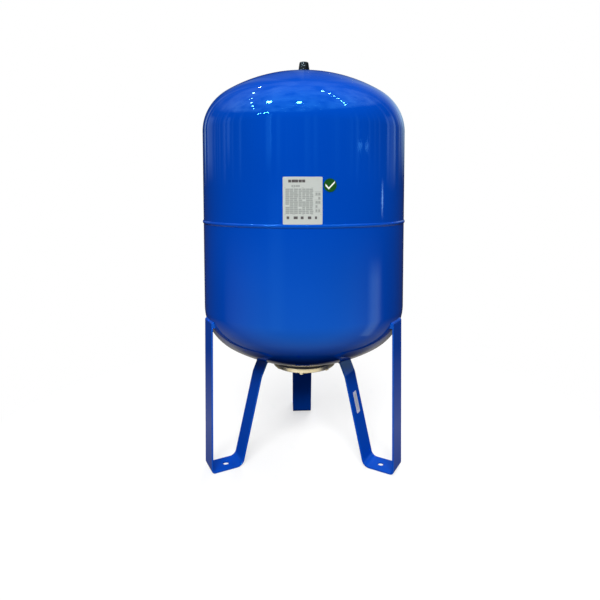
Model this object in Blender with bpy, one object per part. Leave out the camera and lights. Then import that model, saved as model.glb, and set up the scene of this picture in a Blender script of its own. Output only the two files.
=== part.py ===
"""Vertical well pressure tank on three strap legs.

Two deep drawn steel halves are joined by a girth weld. A rubber bag hangs
inside, its lip clamped under the lower head by a plated counter-flange that
carries the threaded water port. An air valve under a plastic cap sits on the
upper head. Each leg is one flat bar bent into a foot and welded at both ends.

Units are metres, +Z is up, the floor is Z = 0 and the tank's axis is the Z
axis. The front, with the rating plate, faces -Y.
"""

import math

import bmesh
import bpy
from mathutils import Matrix, Vector
from mathutils.geometry import interpolate_bezier

# Gap that every pair of touching pieces keeps
SEAT_GAP = 0.0003

# How far a fillet weld's face bulges, as a share of its two legs
FILLET_BULGE = 0.57

# Steel vessel
SHELL_RADIUS = 0.225
SHELL_WALL = 0.0015
KNUCKLE_RADIUS = 0.098
CROWN_RADIUS = 0.337
LOWER_TANGENT_Z = 0.340
LOWER_HALF_CYLINDER = 0.189
UPPER_HALF_CYLINDER = 0.193
JOGGLE_BELOW_SEAM = 0.0014
JOGGLE_HEIGHT = 0.0040
JOGGLE_OVERLAP = 0.014
GIRTH_BEAD_PROUD = 0.0019
GIRTH_BEAD_ABOVE = 0.0018

# Legs, each one bent flat bar
LEG_AZIMUTHS = {"front_left": -63.0, "front_right": 59.5, "rear": 182.3}
STRAP_WIDTH = 0.048
STRAP_THICKNESS = 0.0035
STRAP_EDGE_ROUND = 0.0006
LEG_TOP_BELOW_TANGENT = 0.020
OUTER_SPLAY_DEG = 0.54
FOOT_LENGTH = 0.0659
KINK_FROM_NECK_RING = 0.0487
KINK_BELOW_TANGENT = 0.152
END_LEAN_DEG = 24.0
OUTER_BEND_RADIUS = 0.0070
INNER_BEND_RADIUS = 0.0160
KINK_BEND_RADIUS = 0.0400
FOOT_HOLE_RADIUS = 0.0062
FOOT_HOLE_FROM_OUTER_BEND = 0.0362
LEG_WELD_SIZE = 0.0035
LEG_WELD_SIDE_RUN = 0.009

# Bottom flange, clamped membrane and water port
NECK_HOLE_RADIUS = 0.050
NECK_RING_WIDTH = 0.0185
NECK_RING_DEPTH = 0.0015
NECK_WELD_SIZE = 0.0022
LIP_THICKNESS = 0.0025
LIP_UPSTAND_WIDTH = 0.0027
LIP_UPSTAND_HEIGHT = 0.0026
COUNTER_FLANGE_THICKNESS = 0.0095
COUNTER_FLANGE_EDGE = 0.0012
STUD_COUNT = 6
STUD_FIRST_AZIMUTH = -66.0
STUD_FROM_RING_EDGE = 0.0075
STUD_RADIUS = 0.0030
STUD_TIP_CHAMFER = 0.0008
STUD_HOLE_CLEARANCE = 0.0006
NUT_ACROSS_FLATS = 0.0100
NUT_HEIGHT = 0.0050
NUT_CHAMFER = 0.0007
NUT_FACE_INSET = 0.0002
STUD_PAST_NUT = 0.0015
PORT_BORE_RADIUS = 0.0152
PORT_WALL = 0.0055
PORT_LENGTH = 0.0200
PORT_CHAMFER = 0.0010
PORT_WELD_SIZE = 0.0035

# Rubber bag inside the vessel
BAG_NECK_CLEARANCE = 0.0035
BAG_NECK_ABOVE_HEAD = 0.008
BAG_WALL = 0.0025
BAG_SIDE_CLEARANCE = 0.0335
BAG_ABOVE_WIDEST = 0.180
BAG_NECK_FLARE = 0.044
BAG_LOWER_ROUND = 0.095
BAG_UPPER_ROUND = 0.110

# Air valve and its cap, heights counted from the top of the upper head
BOSS_BORE_RADIUS = 0.0055
BOSS_WALL = 0.0035
BOSS_HEIGHT = 0.0050
BOSS_WELD_SIZE = 0.0020
VALVE_SEAL_THICKNESS = 0.0015
VALVE_SEAL_WIDTH = 0.0027
STEM_BELOW_HEAD = 0.008
STEM_HEX_ACROSS_FLATS = 0.0140
STEM_HEX_HEIGHT = 0.0040
STEM_BORE_RADIUS = 0.00265
STEM_WALL = 0.0012
STEM_ABOVE_HEX = 0.0081
STEM_TIP_CHAMFER = 0.0005
CORE_BELOW_MOUTH = 0.0010
CORE_HEAD_HEIGHT = 0.0040
CORE_LENGTH = 0.0130
CORE_BARREL_RADIUS = 0.0019
CORE_WALL = 0.0005
CORE_FLOOR = 0.0010
PIN_RADIUS = 0.00045
PIN_COLLAR_CLEARANCE = 0.00035
PIN_COLLAR_HEIGHT = 0.0008
PIN_POPPET_INSET = 0.0003
PIN_POPPET_HEIGHT = 0.0020
PIN_ABOVE_CORE = 0.0005
SPRING_WIRE_RADIUS = 0.00014
SPRING_TURNS = 5
CAP_SKIRT_CLEARANCE = 0.0013
CAP_TOP_RADIUS = 0.0100
CAP_HEADROOM = 0.0052
CAP_WALL = 0.0014
CAP_EDGE_ROUND = 0.0012

# Labels
LABEL_AZIMUTH = -0.7
LABEL_WIDTH = 0.0729
LABEL_HEIGHT = 0.0874
LABEL_CORNER = 0.0020
LABEL_ABOVE_BEAD = 0.0003
LABEL_THICKNESS = 0.0003
DISC_RADIUS = 0.0125
DISC_BESIDE_LABEL = 0.0020
DISC_BELOW_LABEL_TOP = 0.0153
DISC_END_FLAT = 0.0012
LEG_STICKER_WIDTH = 0.015
LEG_STICKER_HEIGHT = 0.046
LEG_STICKER_CORNER = 0.0010
LEG_STICKER_Z = 0.128

# Facet counts
SHELL_SEGMENTS = 52
FLANGE_SEGMENTS = 32
PORT_SEGMENTS = 28
SMALL_SEGMENTS = 20
STUD_SEGMENTS = 12
TINY_SEGMENTS = 12
HEX_RING_POINTS = 12
HEAD_ARC_STEPS = 5
BAG_ARC_POINTS = 5
BEND_STEPS = 6
CORNER_STEPS = 2
BEAD_STEPS = 4
STRAP_WELD_STEPS = 4
LABEL_STEPS = 8
STICKER_STEPS = 2
COIL_STEPS_PER_TURN = 8
WIRE_SIDES = 4
SHARP_ANGLE = math.radians(30)
MERGE_DISTANCE = 1e-6
TOUCH_REPEATS = 60

# Heights and radii that follow from the sizes above
SEAM_Z = LOWER_TANGENT_Z + LOWER_HALF_CYLINDER
UPPER_TANGENT_Z = SEAM_Z + UPPER_HALF_CYLINDER
CROWN_CENTRE_DEPTH = math.sqrt(
    (CROWN_RADIUS - KNUCKLE_RADIUS) ** 2 - (SHELL_RADIUS - KNUCKLE_RADIUS) ** 2
)
HEAD_DEPTH = CROWN_RADIUS - CROWN_CENTRE_DEPTH
HEAD_TOP_Z = UPPER_TANGENT_Z + HEAD_DEPTH
LOWER_CROWN_CENTRE_Z = LOWER_TANGENT_Z + CROWN_CENTRE_DEPTH
LEG_TOP_Z = LOWER_TANGENT_Z - LEG_TOP_BELOW_TANGENT
KINK_Z = LOWER_TANGENT_Z - KINK_BELOW_TANGENT
NECK_RING_RADIUS = NECK_HOLE_RADIUS + NECK_RING_WIDTH
NECK_HOLE_Z = LOWER_CROWN_CENTRE_Z - math.sqrt(CROWN_RADIUS**2 - NECK_HOLE_RADIUS**2)
NECK_RING_BOTTOM_Z = NECK_HOLE_Z - NECK_RING_DEPTH
COUNTER_FLANGE_RADIUS = NECK_RING_RADIUS + SEAT_GAP + LIP_UPSTAND_WIDTH
STUD_CIRCLE_RADIUS = NECK_RING_RADIUS - STUD_FROM_RING_EDGE
BAG_NECK_RADIUS = NECK_HOLE_RADIUS - BAG_NECK_CLEARANCE
BAG_NECK_TOP_Z = NECK_HOLE_Z + BAG_NECK_ABOVE_HEAD
BAG_RADIUS = SHELL_RADIUS - SHELL_WALL - BAG_SIDE_CLEARANCE
BAG_TOP_Z = LOWER_TANGENT_Z + BAG_ABOVE_WIDEST
LIP_TOP_Z = NECK_RING_BOTTOM_Z - SEAT_GAP
LIP_BOTTOM_Z = LIP_TOP_Z - LIP_THICKNESS
FLANGE_TOP_Z = LIP_BOTTOM_Z - SEAT_GAP
FLANGE_BOTTOM_Z = FLANGE_TOP_Z - COUNTER_FLANGE_THICKNESS
PORT_TOP_Z = FLANGE_BOTTOM_Z - SEAT_GAP
PORT_BOTTOM_Z = PORT_TOP_Z - PORT_LENGTH
NUT_TOP_Z = FLANGE_BOTTOM_Z - SEAT_GAP
STUD_BOTTOM_Z = NUT_TOP_Z - NUT_HEIGHT - STUD_PAST_NUT
STUD_HOLE_RADIUS = STUD_RADIUS + STUD_HOLE_CLEARANCE
BOSS_BOTTOM_Z = HEAD_TOP_Z + SEAT_GAP
BOSS_TOP_Z = BOSS_BOTTOM_Z + BOSS_HEIGHT
VALVE_SEAL_BOTTOM_Z = BOSS_TOP_Z + SEAT_GAP
VALVE_SEAL_TOP_Z = VALVE_SEAL_BOTTOM_Z + VALVE_SEAL_THICKNESS
STEM_HEX_BOTTOM_Z = VALVE_SEAL_TOP_Z + SEAT_GAP
STEM_HEX_TOP_Z = STEM_HEX_BOTTOM_Z + STEM_HEX_HEIGHT
STEM_TOP_Z = STEM_HEX_TOP_Z + STEM_ABOVE_HEX
STEM_RADIUS = STEM_BORE_RADIUS + STEM_WALL
CORE_TOP_Z = STEM_TOP_Z - CORE_BELOW_MOUTH
CORE_SHOULDER_Z = CORE_TOP_Z - CORE_HEAD_HEIGHT
CORE_BOTTOM_Z = CORE_TOP_Z - CORE_LENGTH
CORE_BORE_RADIUS = CORE_BARREL_RADIUS - CORE_WALL
SPRING_COIL_RADIUS = (PIN_RADIUS + CORE_BORE_RADIUS) / 2
CAP_BOTTOM_Z = HEAD_TOP_Z + SEAT_GAP
CAP_TOP_Z = STEM_TOP_Z + CAP_HEADROOM + CAP_WALL
BOSS_WELD_RADIUS = BOSS_BORE_RADIUS + BOSS_WALL + SEAT_GAP + BOSS_WELD_SIZE
CAP_BASE_RADIUS = BOSS_WELD_RADIUS + CAP_SKIRT_CLEARANCE + CAP_WALL
LABEL_BOTTOM_Z = SEAM_Z + GIRTH_BEAD_ABOVE + LABEL_ABOVE_BEAD
SHEET_BACK_RADIUS = SHELL_RADIUS + SEAT_GAP


def clear_scene():
    for old in list(bpy.data.objects):
        bpy.data.objects.remove(old, do_unlink=True)


def make_material(name, colour, roughness, metallic):
    material = bpy.data.materials.new(name)
    material.use_nodes = True
    shader = material.node_tree.nodes["Principled BSDF"]
    shader.inputs["Base Color"].default_value = (*colour, 1.0)
    shader.inputs["Roughness"].default_value = roughness
    shader.inputs["Metallic"].default_value = metallic
    return material


def finish_mesh(name, bm):
    """Close up the bmesh, point its faces outward and shade its round parts."""
    bmesh.ops.remove_doubles(bm, verts=bm.verts, dist=MERGE_DISTANCE)
    bmesh.ops.recalc_face_normals(bm, faces=bm.faces)
    mesh = bpy.data.meshes.new(name)
    bm.to_mesh(mesh)
    bm.free()
    mesh.shade_smooth()
    mesh.set_sharp_from_angle(angle=SHARP_ANGLE)
    return mesh


def place(name, mesh, material=None, origin=(0.0, 0.0, 0.0), parent=None):
    """Put a mesh built in its parent's frame on an object with its own origin."""
    mesh.transform(Matrix.Translation(-Vector(origin)))
    return place_shared(name, mesh, material, origin, parent)


def place_shared(name, mesh, material=None, origin=(0.0, 0.0, 0.0), parent=None):
    item = bpy.data.objects.new(name, mesh)
    item.location = origin
    item.parent = parent
    if material and not mesh.materials:
        mesh.materials.append(material)
    bpy.context.scene.collection.objects.link(item)
    return item


def turned(name, profile, segments, closed=True):
    """Spin a (radius, height) outline about Z into one solid.

    A closed outline is a ring's section. An open one starts and ends on the
    axis.
    """
    bm = bmesh.new()
    verts = [bm.verts.new((radius, 0.0, height)) for radius, height in profile]
    first = 0 if closed else 1
    edges = [bm.edges.new((verts[i - 1], verts[i])) for i in range(first, len(verts))]
    bmesh.ops.spin(
        bm,
        geom=verts + edges,
        cent=(0.0, 0.0, 0.0),
        axis=(0.0, 0.0, 1.0),
        angle=math.tau,
        steps=segments,
        use_merge=True,
        use_duplicate=False,
    )
    return finish_mesh(name, bm)


def lofted(name, rings, closed=False):
    """Skin a run of equal point rings, capping the ends unless it closes."""
    bm = bmesh.new()
    loops = [[bm.verts.new(point) for point in ring] for ring in rings]
    spans = list(zip(loops, loops[1:]))
    if closed:
        spans.append((loops[-1], loops[0]))
    for near, far in spans:
        for i in range(len(near)):
            bm.faces.new((near[i - 1], near[i], far[i], far[i - 1]))
    if not closed:
        bm.faces.new(loops[0])
        bm.faces.new(reversed(loops[-1]))
    return finish_mesh(name, bm)


def arc_points(centre, radius, start, end, steps):
    """Points on an arc from one angle to the other, both included."""
    angles = [start + (end - start) * i / steps for i in range(steps + 1)]
    return [
        (centre[0] + radius * math.cos(a), centre[1] + radius * math.sin(a))
        for a in angles
    ]


def head_arc(inset, end_radius, sign, tangent_z):
    """Knuckle and crown arcs of a head, from its tangent line inward.

    The inset moves the arcs inside the outer surface. The sign is +1 for the
    upper head and -1 for the lower one.
    """
    knuckle = KNUCKLE_RADIUS - inset
    crown = CROWN_RADIUS - inset
    meeting = math.atan2(CROWN_CENTRE_DEPTH, SHELL_RADIUS - KNUCKLE_RADIUS)
    ending = math.acos(end_radius / crown)
    outer = arc_points(
        (SHELL_RADIUS - KNUCKLE_RADIUS, 0.0), knuckle, 0.0, meeting, HEAD_ARC_STEPS
    )
    inner = arc_points(
        (0.0, -CROWN_CENTRE_DEPTH), crown, meeting, ending, HEAD_ARC_STEPS
    )
    return [(r, tangent_z + sign * h) for r, h in outer + inner[1:]]


def lower_head_z(radius):
    """Height of the lower head's outer surface at a radius on its crown."""
    return LOWER_CROWN_CENTRE_Z - math.sqrt(CROWN_RADIUS**2 - radius**2)


def shell_gap(point):
    """Signed distance from a point to the outside of the vessel's lower half."""
    radius = math.hypot(point.x, point.y)
    if point.z >= LOWER_TANGENT_Z:
        return radius - SHELL_RADIUS
    below_centre = LOWER_CROWN_CENTRE_Z - point.z
    crown_slope = (SHELL_RADIUS - KNUCKLE_RADIUS) / CROWN_CENTRE_DEPTH
    if radius < below_centre * crown_slope:
        return math.hypot(radius, below_centre) - CROWN_RADIUS
    across = radius - (SHELL_RADIUS - KNUCKLE_RADIUS)
    return math.hypot(across, LOWER_TANGENT_Z - point.z) - KNUCKLE_RADIUS


def touch_shell(point, direction):
    """Move a point along a direction until it lies one seat gap off the vessel."""
    for _ in range(TOUCH_REPEATS):
        point = point + direction * (shell_gap(point) - SEAT_GAP)
    return point


def upper_shell():
    outer = head_arc(0.0, BOSS_BORE_RADIUS, 1, UPPER_TANGENT_Z)
    inner = head_arc(SHELL_WALL, BOSS_BORE_RADIUS, 1, UPPER_TANGENT_Z)
    rim = [(SHELL_RADIUS - SHELL_WALL, SEAM_Z), (SHELL_RADIUS, SEAM_Z)]
    return turned("upper_shell", rim + outer + inner[::-1], SHELL_SEGMENTS)


def joggle_curve():
    """Outer side of the lower half's rim, stepped in to slip into the upper half."""
    inset = SHELL_RADIUS - SHELL_WALL - SEAT_GAP
    slope_top = SEAM_Z - JOGGLE_BELOW_SEAM
    return [
        (inset, SEAM_Z + JOGGLE_OVERLAP),
        (inset, slope_top),
        (SHELL_RADIUS, slope_top - JOGGLE_HEIGHT),
    ]


def lower_shell():
    outer = joggle_curve() + head_arc(0.0, NECK_HOLE_RADIUS, -1, LOWER_TANGENT_Z)
    inner = [(r - SHELL_WALL, z) for r, z in joggle_curve()]
    inner += head_arc(SHELL_WALL, NECK_HOLE_RADIUS, -1, LOWER_TANGENT_Z)
    return turned("lower_shell", outer + inner[::-1], SHELL_SEGMENTS)


def bead_arc(seat, top, bottom, proud):
    """Convex face of a weld bead, through its two edges and its crest."""
    half = (top - bottom) / 2
    radius = (half**2 + proud**2) / (2 * proud)
    centre = (seat + proud - radius, (top + bottom) / 2)
    spread = math.asin(half / radius)
    return arc_points(centre, radius, spread, -spread, BEAD_STEPS)


def girth_weld():
    """Bead that fills the joggle's groove and stands proud of both halves."""
    seat = SHELL_RADIUS + SEAT_GAP
    proud = GIRTH_BEAD_PROUD - SEAT_GAP
    slope_foot = joggle_curve()[-1][1]
    groove = parallel_curve(joggle_curve(), SEAT_GAP)[1]
    section = bead_arc(seat, SEAM_Z + GIRTH_BEAD_ABOVE, slope_foot, proud)
    section += [groove, (groove[0], SEAM_Z - SEAT_GAP), (seat, SEAM_Z - SEAT_GAP)]
    return turned("girth_weld", section, SHELL_SEGMENTS)


def bent_path(corners, radii):
    """Round the inner corners of an (x, z) polyline to the bend radii."""
    points = [corners[0]]
    for before, corner, after, radius in zip(
        corners, corners[1:-1], corners[2:], radii
    ):
        into = (corner - before).normalized()
        out = (after - corner).normalized()
        turn = math.acos(max(-1.0, min(1.0, into.dot(out))))
        setback = radius * math.tan(turn / 2)
        side = 1.0 if into.cross(out) > 0 else -1.0
        normal = Vector((-into.y, into.x)) * side
        centre = corner - into * setback + normal * radius
        for i in range(BEND_STEPS + 1):
            angle = turn * i / BEND_STEPS
            spoke = -normal * math.cos(angle) + into * math.sin(angle)
            points.append(centre + spoke * radius)
    return points + [corners[-1]]


def outer_corner_radius(top_r):
    """Where the splayed outer strap's centre line meets the foot's."""
    splay = math.tan(math.radians(OUTER_SPLAY_DEG))
    return top_r + splay * (LEG_TOP_Z - STRAP_THICKNESS / 2)


def leg_top_radius():
    """Centre line of the outer strap at its top, seated against the vessel."""
    far_out = Vector((SHELL_RADIUS + STRAP_WIDTH, 0.0, LEG_TOP_Z))
    seat = touch_shell(far_out, Vector((-1.0, 0.0, 0.0)))
    return seat.x + STRAP_THICKNESS / 2


def leg_corners():
    """Corners of the leg bar's centre line, from the outer top to the inner end."""
    half = STRAP_THICKNESS / 2
    top_r = leg_top_radius()
    outer_r = outer_corner_radius(top_r)
    kink = Vector((NECK_RING_RADIUS + KINK_FROM_NECK_RING, KINK_Z))
    return [
        Vector((top_r, LEG_TOP_Z)),
        Vector((outer_r, half)),
        Vector((outer_r - FOOT_LENGTH, half)),
        kink,
        kink + end_run(kink),
    ]


def end_direction():
    """Direction of the bar's last stretch, up and in towards the lower head."""
    lean = math.radians(END_LEAN_DEG)
    return Vector((-math.sin(lean), math.cos(lean)))


def end_run(kink):
    """Last stretch of the bar, to a square end a seat gap short of the head."""
    along = end_direction()
    to_centre = Vector((0.0, LOWER_CROWN_CENTRE_Z)) - kink
    ahead = to_centre.dot(along)
    aside = abs(to_centre.cross(along))
    nearest = max(0.0, aside - STRAP_THICKNESS / 2)
    return along * (ahead - math.sqrt(CROWN_RADIUS**2 - nearest**2) - SEAT_GAP)


def leg_bar():
    """Flat bar swept along the leg's bent centre line."""
    path = bent_path(
        leg_corners(), (OUTER_BEND_RADIUS, INNER_BEND_RADIUS, KINK_BEND_RADIUS)
    )
    rings = []
    for i, point in enumerate(path):
        into = (point - path[i - 1]).normalized() if i else None
        out = (path[i + 1] - point).normalized() if i + 1 < len(path) else None
        along = ((into or out) + (out or into)).normalized()
        slope = (into or out).dot(along)
        normal = Vector((-along.y, along.x)) * STRAP_THICKNESS / 2 / slope
        left, right = point + normal, point - normal
        half = STRAP_WIDTH / 2
        rings.append(
            [
                (left.x, -half, left.y),
                (left.x, half, left.y),
                (right.x, half, right.y),
                (right.x, -half, right.y),
            ]
        )
    return lofted("leg_bar", rings)


def fillet(root, toe, head):
    """Section of a fillet weld from its root, its two ends and its bulge."""
    belly = root + (toe - root) * FILLET_BULGE + (head - root) * FILLET_BULGE
    return [root, head, belly, toe]


def fillet_section(edge_point, outward, towards_shell, climb):
    """Section of a fillet between the edge of a bar and the vessel."""
    root = edge_point + outward * SEAT_GAP
    toe = touch_shell(root + outward * LEG_WELD_SIZE, towards_shell)
    foot = touch_shell(root, towards_shell)
    return fillet(foot, toe, root - towards_shell * climb)


def corner_fan(corner, start, end, towards_shell, climb):
    """Fillet sections that turn round one corner of a bar."""
    sections = []
    for i in range(CORNER_STEPS + 1):
        outward = start.lerp(end, i / CORNER_STEPS).normalized()
        sections.append(fillet_section(corner, outward, towards_shell, climb))
    return sections


def outer_leg_weld():
    """Fillet over the top of the outer strap and a short way down both sides."""
    half = STRAP_WIDTH / 2
    seat_r = leg_top_radius() - STRAP_THICKNESS / 2
    inward = Vector((-1.0, 0.0, 0.0))
    climb = STRAP_THICKNESS - SEAT_GAP
    up, left, right = Vector((0, 0, 1)), Vector((0, -1, 0)), Vector((0, 1, 0))
    left_top = Vector((seat_r, -half, LEG_TOP_Z))
    right_top = Vector((seat_r, half, LEG_TOP_Z))
    run = up * LEG_WELD_SIDE_RUN
    sections = [fillet_section(left_top - run, left, inward, climb)]
    sections += corner_fan(left_top, left, up, inward, climb)
    for i in range(1, STRAP_WELD_STEPS):
        point = left_top.lerp(right_top, i / STRAP_WELD_STEPS)
        sections.append(fillet_section(point, up, inward, climb))
    sections += corner_fan(right_top, up, right, inward, climb)
    sections += [fillet_section(right_top - run, right, inward, climb)]
    return lofted("outer_leg_weld", sections)


def inner_leg_weld():
    """Fillet all round the bar's square end where it meets the lower head."""
    half_w = STRAP_WIDTH / 2
    half_t = STRAP_THICKNESS / 2
    flat = end_direction()
    along = Vector((flat.x, 0.0, flat.y))
    across = Vector((flat.y, 0.0, -flat.x))
    side = Vector((0.0, 1.0, 0.0))
    end = leg_corners()[-1]
    centre = Vector((end.x, 0.0, end.y))
    corners = [
        centre + across * half_t * a + side * half_w * s
        for a, s in ((1, -1), (1, 1), (-1, 1), (-1, -1))
    ]
    normals = [across, side, -across, -side]
    sections = []
    for i, corner in enumerate(corners):
        sections += corner_fan(corner, normals[i - 1], normals[i], along, LEG_WELD_SIZE)
        following = corners[(i + 1) % len(corners)]
        steps = STRAP_WELD_STEPS if normals[i].y == 0.0 else 1
        for k in range(1, steps):
            point = corner.lerp(following, k / steps)
            sections.append(fillet_section(point, normals[i], along, LEG_WELD_SIZE))
    return lofted("inner_leg_weld", sections, closed=True)


def neck_ring():
    """Flange ring welded round the opening of the lower head."""
    profile = [
        (NECK_HOLE_RADIUS, NECK_RING_BOTTOM_Z),
        (NECK_RING_RADIUS, NECK_RING_BOTTOM_Z),
        (NECK_RING_RADIUS, lower_head_z(NECK_RING_RADIUS) - SEAT_GAP),
        (NECK_HOLE_RADIUS, lower_head_z(NECK_HOLE_RADIUS) - SEAT_GAP),
    ]
    return turned("neck_ring", profile, FLANGE_SEGMENTS)


def neck_weld():
    inner = NECK_RING_RADIUS + SEAT_GAP
    outer = inner + NECK_WELD_SIZE
    root = Vector((inner, lower_head_z(inner) - SEAT_GAP))
    toe = Vector((outer, lower_head_z(outer) - SEAT_GAP))
    profile = fillet(root, toe, root - Vector((0.0, NECK_WELD_SIZE)))
    return turned("neck_weld", profile, FLANGE_SEGMENTS)


def parallel_curve(points, distance):
    """Points moved sideways off an open (radius, height) curve."""
    moved = []
    for i, (r, z) in enumerate(points):
        r0, z0 = points[max(i - 1, 0)]
        r1, z1 = points[min(i + 1, len(points) - 1)]
        length = math.hypot(r1 - r0, z1 - z0)
        moved.append(
            (r - distance * (z1 - z0) / length, z + distance * (r1 - r0) / length)
        )
    return moved


def bag_curve():
    """Outer side of the bag, from its neck to its closed top on the axis."""
    neck = Vector((BAG_NECK_RADIUS, BAG_NECK_TOP_Z, 0.0))
    widest = Vector((BAG_RADIUS, LOWER_TANGENT_Z, 0.0))
    top = Vector((0.0, BAG_TOP_Z, 0.0))
    flare = neck + Vector((BAG_NECK_FLARE, BAG_WALL, 0.0))
    rising = Vector((0.0, BAG_UPPER_ROUND, 0.0))
    falling = Vector((0.0, -BAG_LOWER_ROUND, 0.0))
    crown = top + Vector((BAG_UPPER_ROUND, 0.0, 0.0))
    curve = interpolate_bezier(neck, flare, widest + falling, widest, BAG_ARC_POINTS)
    curve += interpolate_bezier(widest, widest + rising, crown, top, BAG_ARC_POINTS)[1:]
    return [(point.x, point.y) for point in curve]


def membrane():
    """Bag with its neck through the opening and its lip turned up round the ring."""
    outer = bag_curve()
    inner = parallel_curve(outer, BAG_WALL)
    upstand_r = NECK_RING_RADIUS + SEAT_GAP
    neck_inner = BAG_NECK_RADIUS - BAG_WALL
    inner[0] = (neck_inner, BAG_NECK_TOP_Z + BAG_WALL / 2)
    inner[-1] = (0.0, BAG_TOP_Z - BAG_WALL)
    lip = [
        (neck_inner, LIP_BOTTOM_Z),
        (COUNTER_FLANGE_RADIUS, LIP_BOTTOM_Z),
        (COUNTER_FLANGE_RADIUS, LIP_TOP_Z + LIP_UPSTAND_HEIGHT),
        (upstand_r, LIP_TOP_Z + LIP_UPSTAND_HEIGHT),
        (upstand_r, LIP_TOP_Z),
        (BAG_NECK_RADIUS, LIP_TOP_Z),
    ]
    outline = inner[::-1] + lip + outer
    return turned("membrane", outline, FLANGE_SEGMENTS, closed=False)


def counter_flange():
    edge = COUNTER_FLANGE_EDGE
    profile = [
        (PORT_BORE_RADIUS, FLANGE_BOTTOM_Z),
        (COUNTER_FLANGE_RADIUS - edge, FLANGE_BOTTOM_Z),
        (COUNTER_FLANGE_RADIUS, FLANGE_BOTTOM_Z + edge),
        (COUNTER_FLANGE_RADIUS, FLANGE_TOP_Z - edge),
        (COUNTER_FLANGE_RADIUS - edge, FLANGE_TOP_Z),
        (PORT_BORE_RADIUS, FLANGE_TOP_Z),
    ]
    return turned("counter_flange", profile, FLANGE_SEGMENTS)


def port_socket():
    """Threaded water port, drawn with a plain bore at the thread's inner size."""
    outer = PORT_BORE_RADIUS + PORT_WALL
    profile = [
        (PORT_BORE_RADIUS, PORT_TOP_Z),
        (PORT_BORE_RADIUS, PORT_BOTTOM_Z + PORT_CHAMFER),
        (PORT_BORE_RADIUS + PORT_CHAMFER, PORT_BOTTOM_Z),
        (outer - PORT_CHAMFER, PORT_BOTTOM_Z),
        (outer, PORT_BOTTOM_Z + PORT_CHAMFER),
        (outer, PORT_TOP_Z),
    ]
    return turned("port_socket", profile, PORT_SEGMENTS)


def port_weld():
    root = Vector((PORT_BORE_RADIUS + PORT_WALL + SEAT_GAP, PORT_TOP_Z))
    toe = root + Vector((PORT_WELD_SIZE, 0.0))
    profile = fillet(root, toe, root - Vector((0.0, PORT_WELD_SIZE)))
    return turned("port_weld", profile, PORT_SEGMENTS)


def stud_mesh():
    """Weld stud that hangs from the neck ring, drawn on the Z axis."""
    top = NECK_RING_BOTTOM_Z - SEAT_GAP
    tip = STUD_TIP_CHAMFER
    profile = [
        (0.0, top),
        (STUD_RADIUS, top),
        (STUD_RADIUS, STUD_BOTTOM_Z + tip),
        (STUD_RADIUS - tip, STUD_BOTTOM_Z),
        (0.0, STUD_BOTTOM_Z),
    ]
    return turned("stud", profile, STUD_SEGMENTS, closed=False)


def round_or_hex_ring(height, radius, flats, count):
    """Ring of points: a circle, cut back to a hexagon where flats are given."""
    ring = []
    for i in range(count):
        angle = math.tau * i / count
        reach = radius
        if flats:
            from_flat = (angle + math.pi / 6) % (math.pi / 3) - math.pi / 6
            reach = min(radius, flats / 2 / math.cos(from_flat))
        ring.append((reach * math.cos(angle), reach * math.sin(angle), height))
    return ring


def nut_mesh():
    """Hexagon nut with both faces chamfered and a plain bore."""
    corner = NUT_ACROSS_FLATS / math.sqrt(3)
    face = NUT_ACROSS_FLATS / 2 - NUT_FACE_INSET
    bore = STUD_RADIUS + SEAT_GAP
    bottom = NUT_TOP_Z - NUT_HEIGHT
    rings = [
        round_or_hex_ring(bottom, face, None, HEX_RING_POINTS),
        round_or_hex_ring(
            bottom + NUT_CHAMFER, corner, NUT_ACROSS_FLATS, HEX_RING_POINTS
        ),
        round_or_hex_ring(
            NUT_TOP_Z - NUT_CHAMFER, corner, NUT_ACROSS_FLATS, HEX_RING_POINTS
        ),
        round_or_hex_ring(NUT_TOP_Z, face, None, HEX_RING_POINTS),
        round_or_hex_ring(NUT_TOP_Z, bore, None, HEX_RING_POINTS),
        round_or_hex_ring(bottom, bore, None, HEX_RING_POINTS),
    ]
    return lofted("nut", rings, closed=True)


def valve_boss():
    outer = BOSS_BORE_RADIUS + BOSS_WALL
    profile = [
        (BOSS_BORE_RADIUS, BOSS_BOTTOM_Z),
        (outer, BOSS_BOTTOM_Z),
        (outer, BOSS_TOP_Z),
        (BOSS_BORE_RADIUS, BOSS_TOP_Z),
    ]
    return turned("valve_boss", profile, SMALL_SEGMENTS)


def valve_boss_weld():
    root = Vector((BOSS_BORE_RADIUS + BOSS_WALL + SEAT_GAP, BOSS_BOTTOM_Z))
    toe = root + Vector((BOSS_WELD_SIZE, 0.0))
    profile = fillet(root, toe, root + Vector((0.0, BOSS_WELD_SIZE)))
    return turned("valve_boss_weld", profile, SMALL_SEGMENTS)


def valve_seal():
    inner = BOSS_BORE_RADIUS + SEAT_GAP
    profile = [
        (inner, VALVE_SEAL_BOTTOM_Z),
        (inner + VALVE_SEAL_WIDTH, VALVE_SEAL_BOTTOM_Z),
        (inner + VALVE_SEAL_WIDTH, VALVE_SEAL_TOP_Z),
        (inner, VALVE_SEAL_TOP_Z),
    ]
    return turned("valve_seal", profile, SMALL_SEGMENTS)


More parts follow.
